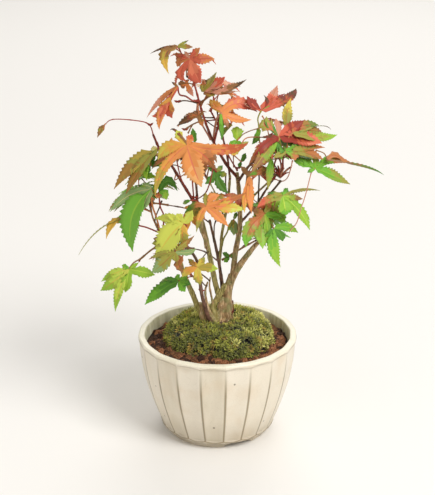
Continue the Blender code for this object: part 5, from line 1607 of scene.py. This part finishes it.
@dataclass
class Twigs:
    """The shoots, leaf stalks, side twigs and buds that carry the leaves."""

    shop: Workshop
    shoot_radius: Pair = (0.72, 0.5)
    node_every: int = 6
    node_swell: float = 1.3
    stalk_radius: float = 0.36
    swelling: float = 1.55
    step: float = 1.6
    near: float = 7.5
    bud_radius: float = 0.75
    bud_length: float = 2.6
    bud_shape: tuple[Pair, ...] = (
        (0.0, 0.55), (0.2, 1.0), (0.45, 0.95), (0.75, 0.5), (1.0, 0.05))
    tuft_centre: Point = (37.6, -5.0, 168.6)
    tuft_leaves: int = 14
    tuft_reach: Pair = (6.0, 11.0)
    seed: int = 11
    colours: tuple[Tint, ...] = (CRIMSON, UMBER, BROWN, PINK, RUST, OLIVE, GREYGREEN, PALE)

    def __post_init__(self) -> None:
        """Starts an empty draft."""
        self.draft = Draft()
        self.rng = random.Random(self.seed)

    def tube(self, points: list[Vector], radii: list[float], tint: Tint, sides: int = 6) -> None:
        """Adds a tube in one colour."""
        self.draft.add_tube(points, radii, sides, self.colours.index(tint))

    def stalk(self, route: tuple | list, radius: float, tint: Tint) -> None:
        """Adds a stalk, swollen at both ends.

        Args:
            route: the points that it passes.
            radius: its radius in the middle.
            tint: its colour.
        """
        points = smooth_route(route, self.step)
        ends = [min(index, len(points) - 1 - index) * self.step for index in range(len(points))]
        radii = [radius * (1 + (self.swelling - 1) * math.exp(-(end / 1.4) ** 2)) for end in ends]
        self.tube(points, radii, tint)

    def bud(self, spot: Vector, way: Vector, size: float = 1.0) -> None:
        """Adds a pointed bud with its foot on a spot, of a size that is a share of the usual."""
        points = [spot + way * self.bud_length * size * share for share, _ in self.bud_shape]
        self.tube(points, [self.bud_radius * size * wide for _, wide in self.bud_shape], CRIMSON)

    def grow_shoot(self, spray: Spray, points: list[Vector]) -> None:
        """Grows the shoot of a spray, with its nodes and the pair of buds at its end.

        Args:
            spray: the spray.
            points: the points of its shoot.
        """
        last = len(points) - 1
        thick, thin = self.shoot_radius
        radii = [spray.slim * (thick + (thin - thick) * index / last) for index in range(last + 1)]
        for index in range(0, last + 1, self.node_every):
            radii[index] *= self.node_swell
        self.tube(points, radii, CRIMSON if spray.hue in (Hue.RED, Hue.ORANGE) else BROWN)
        ahead = (points[-1] - points[-2]).normalized()
        for side in (-1, 1) if spray.slim == 1.0 else ():
            way = (ahead + ahead.orthogonal().normalized() * 0.5 * side).normalized()
            self.bud(points[-1] - ahead * 0.3, way, 0.8)

    def grow(self, foliage: Foliage, shown: int) -> None:
        """Grows everything that carries a leaf.

        Args:
            foliage: the leaves.
            shown: how many of its hearts are of shown leaves.
        """
        shoots = [smooth_route(spray.shoot, self.step) for spray in SPRAYS]
        for spray, points in zip(SPRAYS, shoots):
            self.grow_shoot(spray, points)
        for stalk in STALKS:
            self.stalk(stalk.route, stalk.radius, stalk.tint)
        ends = [Vector(stalk.route[end]) for end in (0, -1) for stalk in STALKS]
        nodes = [point for points in shoots for point in points[len(points) // 4:-1]]
        for heart, aim in foliage.hearts[:shown]:
            near = min(ends, key=lambda end: (end - heart).length)
            if (near - heart).length < self.near:
                if (near - heart).length > 0.6:
                    self.stalk([heart, near.lerp(heart, 0.5), near], self.stalk_radius, RUST)
                continue
            node = min(nodes, key=lambda spot: (spot - heart).length + 0.5 * max(0.0, spot.z - heart.z))
            control = heart - aim * (node - heart).length * 0.3
            middle = (node + heart) * 0.25 + control * 0.5
            tint = self.rng.choice((CRIMSON, RUST, OLIVE, BROWN))
            self.stalk([node, middle, heart], self.stalk_radius, tint)
        for route, radius in foliage.side_twigs:
            self.stalk(route, radius, self.rng.choice((CRIMSON, RUST, UMBER, BROWN)))
        for spot in BUDS:
            for side in (-1, 1):
                way = Vector((side, self.rng.uniform(-0.6, 0.2), self.rng.uniform(0.3, 0.9))).normalized()
                self.bud(Vector(spot), way)

    def grow_tuft(self) -> None:
        """Adds the tuft of slim young leaves, still folded, at the end of the bud's bough."""
        centre = Vector(self.tuft_centre)
        for number in range(self.tuft_leaves):
            turn = number * GOLDEN
            rise = self.rng.uniform(0.4, 2.4)
            way = Vector((math.cos(turn), -abs(math.sin(turn)) * 0.7, rise)).normalized()
            length = self.rng.uniform(*self.tuft_reach)
            bend = centre + way * length * 0.5 + Vector((0, 0, 0.1 * length))
            points = smooth_route([centre, bend, centre + way * length], 0.8)
            shares = [min(0.97, (index + 1) / len(points)) for index in range(len(points))]
            radii = [0.2 + 0.35 * math.sin(math.pi * share) for share in shares]
            self.tube(points, radii, (CRIMSON, UMBER, PINK)[number % 3], 5)

    def build(self) -> None:
        """Builds the piece."""
        finishes = [YoungBark("leaf_stalk_" + tint.name.lower(), *(tint.value,) * 4, 0.5, 3.0).build()
                    for tint in self.colours]
        self.shop.declare(self.shop.mesh("twigs", self.draft, finishes), "bark")


@dataclass
class Wood:
    """The foot of the clump, its stems and its boughs, as one skin of bark."""

    shop: Workshop
    foot_centre: Pair = (1.5, 3.0)
    foot_low: float = 58.8
    foot_height: float = 15.0
    foot_radius: float = 10.4
    foot_top_radius: float = 7.4
    foot_depth: float = 0.94
    foot_rows: int = 16
    foot_turns: int = 60
    ridges: int = 5
    ridge_depth: float = 0.11
    step: float = 1.5
    sides: int = 14
    node_spacing: float = 12.0
    node_swell: float = 0.16
    voxel: float = 0.34
    relief: float = 0.22
    groove: float = 0.75

    def build(self) -> None:
        """Builds the piece."""
        kinds = list(Bark)
        draft, marks = Draft(), []
        for limb in (*LIMBS, *FOOT):
            route = smooth_route(limb.route, self.step)
            radii = []
            for index, spot in enumerate(route):
                radius = limb.radius[0] + (limb.radius[1] - limb.radius[0]) * index / (len(route) - 1)
                off = (index * self.step) % self.node_spacing / 1.3
                radii.append(radius + self.node_swell * math.exp(-off * off))
                marks.append((spot, kinds.index(limb.bark), radii[-1]))
            draft.add_tube(route, radii, self.sides)
        self._foot(draft)
        core = self.foot_top_radius - 1.0
        for height in np.arange(self.foot_low, self.foot_low + self.foot_height, self.step):
            marks.append((Vector((*self.foot_centre, height)), kinds.index(Bark.TAN), core))
        finishes = [YoungBark("maple_bark_" + bark.name.lower(), *bark.value).build() for bark in kinds]
        piece = self.shop.mesh("bark", draft, finishes)
        fuse = piece.modifiers.new("fuse", "REMESH")
        fuse.mode = "VOXEL"
        fuse.voxel_size = self.voxel * MM
        fuse.use_smooth_shade = True
        self.shop.settle(piece)
        self._roughen(piece.data, marks)
        limbs = [limb.name for limb in LIMBS]
        self.shop.declare(piece, "bark", "trunk", *limbs)

    def _foot(self, draft: Draft) -> None:
        """Adds the flared foot with its root ridges.

        Args:
            draft: the mesh that takes it.
        """
        points = []
        for row in range(self.foot_rows + 1):
            rise = row / self.foot_rows
            radius = self.foot_top_radius + (self.foot_radius - self.foot_top_radius) * (1 - rise) ** 2
            radius *= 1 - 0.35 * max(0.0, rise - 0.7) ** 1.5 * 4
            for turn in range(self.foot_turns):
                angle = math.tau * turn / self.foot_turns
                wave = 1 + self.ridge_depth * math.cos(self.ridges * angle + 0.8 + rise) * (1 - 0.5 * rise)
                wave += 0.04 * math.cos(13 * angle + 2 * rise)
                points.append(Vector((
                    self.foot_centre[0] + radius * wave * math.cos(angle),
                    self.foot_centre[1] + radius * wave * math.sin(angle) * self.foot_depth,
                    self.foot_low + self.foot_height * rise,
                )))
        draft.add_column(points, self.foot_turns)

    def _roughen(self, mesh: Mesh, marks: list[tuple[Vector, int, float]]) -> None:
        """Gives the skin its relief and painted hollow shade, and each face the bark of the limb it is on.

        Args:
            mesh: the fused mesh, in metres.
            marks: points along the limbs, each with its bark and its radius.
        """
        tree = KDTree(len(marks))
        for index, (spot, _, _) in enumerate(marks):
            tree.insert(spot, index)
        tree.balance()
        shift = self.shop.axis
        normals = [vertex.normal.copy() for vertex in mesh.vertices]
        hollow_shades = []
        for vertex, normal in zip(mesh.vertices, normals):
            spot = vertex.co / MM - shift
            low = 1 - eased((spot.z - 66) / 14)
            fine = noise.noise(Vector((spot.x, spot.y, spot.z * 0.35)) * 1.3)
            coarse = noise.noise(Vector((spot.x, spot.y, spot.z * 0.3)) * 0.42)
            vertex.co += normal * (self.relief * fine * (0.5 + low) + self.groove * coarse * low) * MM
            # painted shade: darker in the skin's hollows and below the moss line, where the stems meet the
            # moss
            hollow_shades.append(max(0.0, -0.5 * fine - 1.6 * coarse * low) + 0.5 * eased((64.0 - spot.z) / 4))
        mesh.attributes.new("hollow", "FLOAT", "POINT").data.foreach_set("value", hollow_shades)
        slots = []
        for face in mesh.polygons:
            close = tree.find_n(face.center / MM - shift, 16)
            slots.append(marks[min(close, key=lambda found: found[2] - marks[found[1]][2])[1]][1])
        mesh.polygons.foreach_set("material_index", slots)
        mesh.polygons.foreach_set("use_smooth", [True] * len(slots))
        mesh.update()


class Skin(Enum):
    """The kinds of surface that the pot's section has."""

    LIP = "lip"
    WALL = "wall"
    FOOT = "foot"
    UNDER = "under"
    INSIDE = "inside"


@dataclass
class Pot:
    """The small round pot: a fluted wall under a plain rounded lip, on a notched foot ring."""

    shop: Workshop
    height: float = 65.0
    rim_radius: float = 50.0
    wall_foot_radius: float = 35.5
    wall_swell: float = 1.9
    wall: float = 4.3
    lip_height: float = 2.0
    lip_round: float = 0.9
    foot_radius: float = 31.5
    foot_inner: float = 27.5
    foot_height: float = 4.0
    recess: float = 3.0
    floor: float = 8.5
    floor_radius: float = 29.0
    drain: float = 4.0
    flutes: int = 20
    per_flute: int = 14
    flute_depth: float = 1.15
    flute_turn: float = math.radians(-84.1)
    seam_depth: float = 0.4
    seam_width: float = 0.05
    facet: float = 0.3
    arch_low: float = 62.0
    arch_rise: float = 0.8
    notches: int = 3
    notch_turn: float = math.radians(-66.0)
    notch_half: float = 10.5
    notch_height: float = 2.7
    wobble: float = 0.14

    def wall_radius(self, height: float) -> float:
        """Finds the outer radius of the wall.

        Args:
            height: the height of the place.

        Returns:
            The radius there.
        """
        rise = (height - self.foot_height) / (self.height - self.foot_height)
        spread = self.rim_radius - self.wall_foot_radius
        return self.wall_foot_radius + spread * (1 - (1 - rise) ** self.wall_swell)

    def bore_radius(self, height: float) -> float:
        """Finds the inner radius of the wall, rounded in to the floor.

        Args:
            height: the height of the place.

        Returns:
            The radius there.
        """
        low = max(height, self.floor)
        rounding = max(0.0, 1 - (low - self.floor) / 8.0) ** 2
        inside = self.wall_radius(low) - self.wall
        return inside + (self.floor_radius - inside) * rounding

    def profile(self) -> list[tuple[float, float, Skin]]:
        """Finds the turned section, from the lip's crown down the outside, under the foot and up the inside.

        Returns:
            The radius, height and kind of surface of each of its points.
        """
        lip, outer, top, low = self.lip_round, self.rim_radius, self.height, self.foot_height
        base, foot, hollow = top - self.lip_height, self.foot_radius, self.foot_inner
        inner = self.bore_radius(top) + 0.2
        turns = [math.pi / 2 * step / 6 for step in range(7)]
        heights = (*np.linspace(base - 0.1, base - 4.2, 12), *np.linspace(base - 5.6, 12.0, 24),
                   *np.linspace(10.8, low + 2.2, 10))
        insides = (9.4, 10.8, 13.0, 16.5, 24.0, 36.0, 48.0, 54.0, 57.0, 59.5, 61.5)
        rows = {
            Skin.LIP: [(outer - lip + lip * math.sin(turn), top - lip + lip * math.cos(turn))
                       for turn in turns]
            + [(outer - 0.05, base + 0.5), (outer - 0.2, base + 0.1)],
            Skin.WALL: [(self.wall_radius(height), float(height)) for height in heights]
            + [(self.wall_radius(low + 2.2) - 1.6 * share ** 2, low + 2.2 - 2.0 * share)
               for share in (0.35, 0.7, 0.9)],
            Skin.FOOT: [(foot + 0.5, low + 0.1), (foot + 0.1, low - 0.5)]
            + [(foot + 0.5 * share ** 2, (low - 0.5) * (1 - share)) for share in (0.25, 0.5, 0.75, 0.93)]
            + [(foot + 0.1, 0.0), (hollow + 0.4, 0.0), (hollow, 0.4), (hollow - 0.2, self.recess - 0.4),
               (hollow - 0.8, self.recess)],
            Skin.UNDER: [(radius, self.recess) for radius in (20.0, 12.0, self.drain + 0.6)]
            + [(self.drain, self.recess + 0.6)],
            Skin.INSIDE: [(self.drain, self.floor - 0.6), (self.drain + 0.6, self.floor)]
            + [(radius, self.floor) for radius in (12.0, 20.0, self.floor_radius)]
            + [(self.bore_radius(height), height) for height in insides],
        }
        section = [(radius, height, skin) for skin, points in rows.items() for radius, height in points]
        section += [(inner + lip * (1 - math.cos(turn)), top - lip + lip * math.sin(turn), Skin.LIP)
                    for turn in turns[1:6]]
        return [*section, (inner + lip, top, Skin.LIP)]

    def point(self, radius: float, height: float, skin: Skin, turn: int) -> Vector:
        """Finds a point of the fluted surface.

        Args:
            radius: the section's radius there.
            height: its height.
            skin: its kind of surface.
            turn: how many points along its ring it is.

        Returns:
            The point.
        """
        angle = math.tau * turn / (self.flutes * self.per_flute) + self.flute_turn
        phase = (turn / self.per_flute) % 1.0
        bow = math.sin(math.pi * phase)
        wide, high = radius, height
        if skin == Skin.WALL:
            arch = self.arch_low + self.arch_rise * bow ** 0.6
            low = self.foot_height + 2.6 - 1.2 * bow ** 0.6
            sunk = eased((arch - height) / 0.9) * eased((height - low) / 1.0)
            wide -= self.flute_depth * bow * sunk + 0.25 * sunk
            wide -= self.seam_depth * max(0.0, 1 - min(phase, 1 - phase) / self.seam_width) * sunk
        if skin == Skin.LIP or (skin == Skin.INSIDE and height > 45):
            wide -= self.facet * bow ** 1.5
        if skin == Skin.FOOT:
            high = max(height, self._notch(angle))
            wide -= 0.15 * bow
        if skin in (Skin.WALL, Skin.LIP):
            wide += self.wobble * noise.noise(polar(1, angle, height / 30) * 2.2)
        return polar(wide, angle, high)

    def build(self) -> None:
        """Builds the piece."""
        section = self.profile()
        turns = self.flutes * self.per_flute
        inside = [skin == Skin.INSIDE for _, _, skin in section]
        slots = [int(low or high) for low, high in zip(inside, inside[1:] + inside[:1]) for _ in range(turns)]
        draft = Draft()
        draft.add([self.point(*place, turn) for place in section for turn in range(turns)],
                  ring_faces(len(section), turns, around=True), slots)
        lines = (self.foot_height + 2.4, self.arch_low + 0.3)
        glaze = GlazedStoneware((self.shop.x, self.shop.y), self.flutes, self.flute_turn, *lines)
        piece = self.shop.mesh("fluted_pot", draft, [glaze.build(), WeatheredGlaze().build()])
        self.shop.declare(piece, "glazed_stoneware", "pot")

    def _notch(self, angle: float) -> float:
        """Finds how high a notch lifts the foot's edge.

        Args:
            angle: the angle about the pot's axis.

        Returns:
            The height of the edge.
        """
        spacing = math.tau / self.notches
        off = (angle - self.notch_turn + spacing / 2) % spacing - spacing / 2
        share = min(1.0, abs(off) * self.foot_radius / self.notch_half)
        return self.notch_height * (1 - share ** 2) ** 0.8


@dataclass
class Scatter:
    """Geometry Nodes that strew small shapes over a surface, thinned to bands of a slow pattern."""

    name: str
    density: float
    size: Pair
    patch_mm: float
    squash: float = 1.0
    tilt: float = 0.5
    drift: Point = (0.0, 0.0, 0.0)
    stray: float = 0.16

    def tree(self) -> NodeTree:
        """Builds the node tree.

        Returns:
            The tree, with its sizes as named inputs.
        """
        tree = bpy.data.node_groups.new(self.name, "GeometryNodeTree")
        sockets = {"Geometry": "Geometry", "Shape": "Object", "Density": "Float", "Smallest": "Float",
                   "Largest": "Float", "Band Low": "Float", "Band High": "Float", "Seed": "Int",
                   "Drift": "Vector", "Finish": "Material"}
        for title, kind in sockets.items():
            tree.interface.new_socket(title, in_out="INPUT", socket_type="NodeSocket" + kind)
        tree.interface.new_socket("Geometry", in_out="OUTPUT", socket_type="NodeSocketGeometry")
        number, patches = {"data_type": "FLOAT"}, {"Scale": 1 / (self.patch_mm * MM), "Detail": 2.0}
        lean = {0: (-self.tilt, -self.tilt, 0.0), 1: (self.tilt, self.tilt, math.tau)}
        lay_nodes(tree, {
            "start": ("NodeGroupInput", {}, {}),
            "spread": ("GeometryNodeDistributePointsOnFaces", {},
                       {"Mesh": "start:Geometry", "Density": "start:Density", "Seed": "start:Seed"}),
            "spot": ("GeometryNodeInputPosition", {}, {}),
            "slow": ("ShaderNodeTexNoise", patches, {"Vector": "spot"}),
            "chance": ("FunctionNodeRandomValue", {**number, 2: -self.stray, 3: self.stray}, {}),
            "along": ("ShaderNodeVectorMath:DOT_PRODUCT", {}, {0: "spot", 1: "start:Drift"}),
            "drifted": ("ShaderNodeMath:ADD", {}, {0: "slow", 1: "along:Value"}),
            "mixed": ("ShaderNodeMath:ADD", {}, {0: "drifted", 1: "chance:1"}),
            "above": ("FunctionNodeCompare:GREATER_EQUAL", number, {0: "mixed", 1: "start:Band Low"}),
            "below": ("FunctionNodeCompare:LESS_THAN", number, {0: "mixed", 1: "start:Band High"}),
            "both": ("FunctionNodeBooleanMath:AND", {}, {0: "above", 1: "below"}),
            "shape": ("GeometryNodeObjectInfo", {"As Instance": True}, {"Object": "start:Shape"}),
            "spin": ("FunctionNodeRandomValue", {"data_type": "FLOAT_VECTOR", **lean, "Seed": 3}, {}),
            "turned": ("FunctionNodeRotateRotation", {"rotation_space": "LOCAL"},
                       {"Rotation": "spread:Rotation", "Rotate By": "spin"}),
            "grow": ("FunctionNodeRandomValue", {**number, "Seed": 7},
                     {2: "start:Smallest", 3: "start:Largest"}),
            "flat": ("ShaderNodeVectorMath:SCALE", {0: (1.0, 1.0, self.squash)}, {"Scale": "grow:1"}),
            "placed": ("GeometryNodeInstanceOnPoints", {},
                       {"Points": "spread:Points", "Selection": "both", "Instance": "shape:Geometry",
                        "Rotation": "turned", "Scale": "flat"}),
            "real": ("GeometryNodeRealizeInstances", {}, {0: "placed"}),
            "dressed": ("GeometryNodeSetMaterial", {}, {0: "real", "Material": "start:Finish"}),
            "end": ("NodeGroupOutput", {}, {0: "dressed"}),
        })
        return tree

    def run(self, base: Object, shapes: list[Object], bands: list[tuple], seed: int) -> Object:
        """Strews every shape in every band.

        Args:
            base: the surface.
            shapes: the shapes to strew.
            bands: the low and high end of each band, with its material.
            seed: the seed of the first run.

        Returns:
            One object of all that was strewn.
        """
        tree = self.tree()
        names = {item.name: item.identifier for item in tree.interface.items_tree
                 if item.item_type == "SOCKET" and item.in_out == "INPUT"}
        made = []
        for turn, shape in enumerate(shapes):
            for low, high, finish in bands:
                part = base.copy()
                part.data = base.data.copy()
                bpy.context.scene.collection.objects.link(part)
                strew = part.modifiers.new("strew", "NODES")
                strew.node_group = tree
                values = {"Shape": shape, "Density": self.density / len(shapes), "Smallest": self.size[0],
                          "Largest": self.size[1], "Band Low": low, "Band High": high, "Seed": seed + turn,
                          "Drift": self.drift, "Finish": finish}
                for title, value in values.items():
                    strew[names[title]] = value
                made.append(Workshop.settle(part))
        return Workshop.join(self.name, made)


@dataclass
class Ground:
    """The soil in the pot and the mound of moss on it."""

    shop: Workshop
    soil_top: float = 58.3
    soil_edge: float = 56.8
    soil_radii: Point = (22.0, 34.0, 43.6)
    centre: Pair = (1.5, 3.0)
    moss_reach: tuple[Pair, ...] = (
        (-156, 33), (-131, 30), (-103, 26), (-82, 32), (-60, 33.5), (-37, 33), (-2, 32), (60, 32), (120, 33),
        (161, 34))
    moss_edge: float = 0.6
    moss_crown: float = 13.5
    moss_base: float = 58.8
    skirt: float = 0.2
    hole: float = 9.0
    tilt: float = 0.035
    turns: int = 144
    soil_turns: int = 72
    rows: int = 34

    def lump(self, x: float, y: float) -> float:
        """Returns the uneven swell of the mound over its smooth shape."""
        swell = 0.9 * math.sin(x * 0.31 + 1.0) * math.cos(y * 0.27) + 0.6 * math.sin(y * 0.55 + x * 0.2)
        return swell + 0.9 * noise.noise(Vector((x, y, 0)) * 0.16)

    def reach(self, angle: float) -> float:
        """Returns how far the mound reaches at an angle, with a ragged edge."""
        wide = float(np.interp(math.degrees(angle), *zip(*self.moss_reach), period=360))
        return wide + 1.1 * noise.noise(polar(1, angle, 3) * 6.0)

    def mound(self) -> Object:
        """Builds the mound under the tufts, near-black as painted shade in the gaps between them.

        Returns:
            The mound.
        """
        points = []
        angles = [math.tau * turn / self.turns for turn in range(self.turns)]
        reaches = [self.reach(angle) for angle in angles]
        for row in range(self.rows + 1):
            share = row / self.rows
            rise = math.sqrt(max(0.0, 1 - share ** 2.4))
            lift = self.moss_edge + (self.moss_crown - self.moss_edge) * rise
            for angle, reach in zip(angles, reaches):
                radius = self.hole + (reach - self.hole) * share
                x = self.centre[0] + radius * math.cos(angle)
                y = self.centre[1] + radius * math.sin(angle)
                swell = lift / self.moss_crown * (self.lump(x, y) + self.tilt * (x + y))
                high = self.moss_base + lift + swell
                points.append(Vector((x, y, high + 0.5 * noise.noise(Vector((x, y, 5)) * 0.5))))
        first, last = points[:self.turns], points[-self.turns:]
        points += [Vector((point.x, point.y, self.moss_base - self.skirt)) for point in (*last, *first)]
        draft = Draft()
        draft.add(points, ring_faces(len(points) // self.turns, self.turns, around=True))
        # the mound's near-black moss is painted shade in the gaps between the tufts
        mat = CushionMoss("cushion_moss_mat", "14120A", "3A3A18").build()
        return self.shop.mesh("moss_mound", draft, [mat])

    @staticmethod
    def tuft(leaves: int, rise: float) -> Object:
        """Builds one star of moss leaves about its own foot, a millimetre across before it is scaled.

        Args:
            leaves: how many leaves it has.
            rise: how steeply they stand.

        Returns:
            The star.
        """
        draft = Draft()
        for index in range(leaves):
            turn = math.tau * index / leaves + (0.2 if index % 2 else 0.0)
            steep = rise * (1.0 if index % 2 else 0.55)
            way = polar(1, turn, steep).normalized()
            across = Vector((-math.sin(turn), math.cos(turn), 0)) * 0.1
            over = way.cross(across).normalized() * -0.07
            foot = way * 0.04
            middle = foot + way * 0.32
            points = [foot, middle + across, middle - across, middle + over, foot + way * 0.62]
            draft.add(points, [(0, 1, 3), (0, 3, 2), (0, 2, 1), (4, 3, 1), (4, 2, 3), (4, 1, 2)])
        shape = Workshop(0.0, 0.0).mesh("moss_star", draft, [], smooth=False)
        # tip: share along each leaf; the moss darkens the feet as painted shade and pales the new tips
        tips = shape.data.attributes.new("tip", "FLOAT", "POINT")
        tips.data.foreach_set("value", [0.0, 0.4, 0.4, 0.5, 1.0] * leaves)
        return shape

    @staticmethod
    def grain(seed: int) -> Object:
        """Builds one lump of clay, a millimetre across before it is scaled.

        Args:
            seed: the seed of its shape.

        Returns:
            The lump.
        """
        rng = random.Random(seed)
        bpy.ops.mesh.primitive_ico_sphere_add(subdivisions=1, radius=0.5 * MM)
        lump = bpy.context.object
        lump.name = "clay_grain"
        for vertex in lump.data.vertices:
            vertex.co *= rng.uniform(0.75, 1.2)
        return lump

    def soil_ring(self) -> Object:
        """Builds the open ring of soil that the granules lie on.

        Returns:
            The ring, which is removed when the granules are strewn.
        """
        heights = (self.soil_top, self.soil_top, self.soil_edge)
        points = [polar(radius, math.tau * turn / self.soil_turns, height)
                  for radius, height in zip(self.soil_radii, heights) for turn in range(self.soil_turns)]
        draft = Draft()
        draft.add(points, ring_faces(len(heights), self.soil_turns))
        return self.shop.mesh("soil_ring", draft, [])

    def build(self) -> None:
        """Builds the moss and the granules of soil."""
        mound = self.mound()
        greens = (("cushion_moss_dark", "1C1E06", "92963E", 0.0, 0.37),
                  ("cushion_moss_gold", "4A3410", "CEB054", 0.37, 0.42),
                  ("cushion_moss_green", "2E320A", "C6C852", 0.42, 0.54),
                  ("cushion_moss_shade", "1A180A", "8E924A", 0.54, 0.6),
                  ("cushion_moss_new", "5A6012", "F2EC8C", 0.6, 1.5))
        bands = [(low, high, CushionMoss(name, dark, pale).build()) for name, dark, pale, low, high in greens]
        stars = [self.tuft(9, 1.5), self.tuft(8, 0.7)]
        tufts = Scatter("moss_tufts", 240000.0, (3.4, 6.4), patch_mm=8.0, drift=(2.6, 4.6, 0.0))
        moss = Workshop.join("moss_cushion", [mound, tufts.run(mound, stars, bands, 4)])
        Workshop.declare(moss, "moss", "moss")
        bed = self.soil_ring()
        clays = (("fired_clay_dark", "26150C", "563522", 0.0, 0.47),
                 ("fired_clay_brown", "4E2E1A", "8E603C", 0.47, 0.6),
                 ("fired_clay_red", "6A3A24", "B47C52", 0.6, 1.5))
        bands = [(low, high, FiredClay(name, dark, pale).build()) for name, dark, pale, low, high in clays]
        grains = [self.grain(seed) for seed in (1, 2, 3)]
        granules = Scatter("soil_granules", 230000.0, (2.8, 6.4), patch_mm=6.0, squash=0.8, tilt=3.1,
                           drift=(2.0, -1.6, 0.0))
        strewn = granules.run(bed, grains, bands, 21)
        for spare in (bed, *stars, *grains):
            bpy.data.objects.remove(spare, do_unlink=True)
        for face in strewn.data.polygons:
            face.use_smooth = False
        Workshop.declare(strewn, "clay_granules")


@dataclass(frozen=True)
class Studio:
    """The viewer's camera, the pale floor and the soft light."""

    shop: Workshop
    sight: Sight
    sensor: float = 36.0
    lens: float = 91.78
    floor_size: float = 12.0
    floor: str = "F4F1EC"
    sky: str = "FFFDFA"
    sky_strength: float = 0.5

    def build(self) -> None:
        """Sets the camera, the floor and the lights."""
        scene = bpy.context.scene
        scene.view_settings.view_transform = "Standard"
        camera = bpy.data.cameras.new("viewer")
        camera.sensor_width = self.sensor
        camera.lens = self.lens
        camera.clip_end = 100.0
        eye = bpy.data.objects.new("viewer", camera)
        eye.location = (self.sight.eye + self.shop.axis) * MM
        eye.rotation_euler = (math.pi / 2 - self.sight.pitch, 0, 0)
        scene.collection.objects.link(eye)
        scene.camera = eye
        half = self.floor_size / 2
        sheet = bpy.data.meshes.new("studio_floor")
        corners = [(-half, -half, 0), (half, -half, 0), (half, half, 0), (-half, half, 0)]
        sheet.from_pydata(corners, [], [(0, 1, 2, 3)])
        paper = new_material("matt_paper", {"Roughness": 0.9, "Base Color": linear(self.floor)})
        sheet.materials.append(paper)
        floor = bpy.data.objects.new("studio_floor", sheet)
        scene.collection.objects.link(floor)
        world = bpy.data.worlds.new("studio")
        world.use_nodes = True
        sky = world.node_tree.nodes["Background"].inputs
        sky["Color"].default_value = linear(self.sky)
        sky["Strength"].default_value = self.sky_strength
        scene.world = world
        self._light("key", Vector((1.0, -1.1, 1.6)), 1.0, 30.0)
        self._light("fill", Vector((-1.2, -0.9, 0.9)), 1.4, 2.2)
        self._light("back", Vector((0.2, 1.6, 1.5)), 1.4, 14.0)

    @staticmethod
    def _light(name: str, spot: Vector, size: float, power: float) -> None:
        """Adds a square soft light that faces the plant.

        Args:
            name: its name.
            spot: its place in metres.
            size: its side in metres.
            power: its power in watts.
        """
        lamp = bpy.data.lights.new(name, "AREA")
        lamp.size = size
        lamp.energy = power
        made = bpy.data.objects.new(name, lamp)
        made.location = spot
        made.rotation_mode = "QUATERNION"
        made.rotation_quaternion = (Vector((0, 0, 0.12)) - spot).to_track_quat("-Z", "Y")
        bpy.context.scene.collection.objects.link(made)


def dress_soil(frame: dict) -> None:
    """Gives the packed soil its clay finish.

    Args:
        frame: the loaded frame.
    """
    soil = frame["nodes"]["soil"]
    finish = FiredClay("fired_clay_bed", "20120A", "3C2214").build()
    for slot in soil.material_slots:
        slot.material = finish


def main() -> None:
    """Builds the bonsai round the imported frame."""
    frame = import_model()
    corner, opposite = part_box("pot")
    axis = (corner + opposite) / 2 / MM
    shop = Workshop(axis.x, axis.y)
    sight = Sight()
    Studio(shop, sight).build()
    Pot(shop).build()
    dress_soil(frame)
    Ground(shop).build()
    Wood(shop).build()
    foliage = Foliage(shop, sight)
    foliage.cut_shown()
    shown = len(foliage.hearts)
    for spray in SPRAYS:
        foliage.cut_hidden(spray)
    LOG.info("%d leaves, %d of them shown", len(foliage.hearts), shown)
    twigs = Twigs(shop)
    twigs.grow(foliage, shown)
    twigs.grow_tuft()
    twigs.build()
    foliage.build()


if __name__ == "__main__":
    logging.basicConfig(level=logging.INFO, format="%(name)s: %(message)s")
    main()
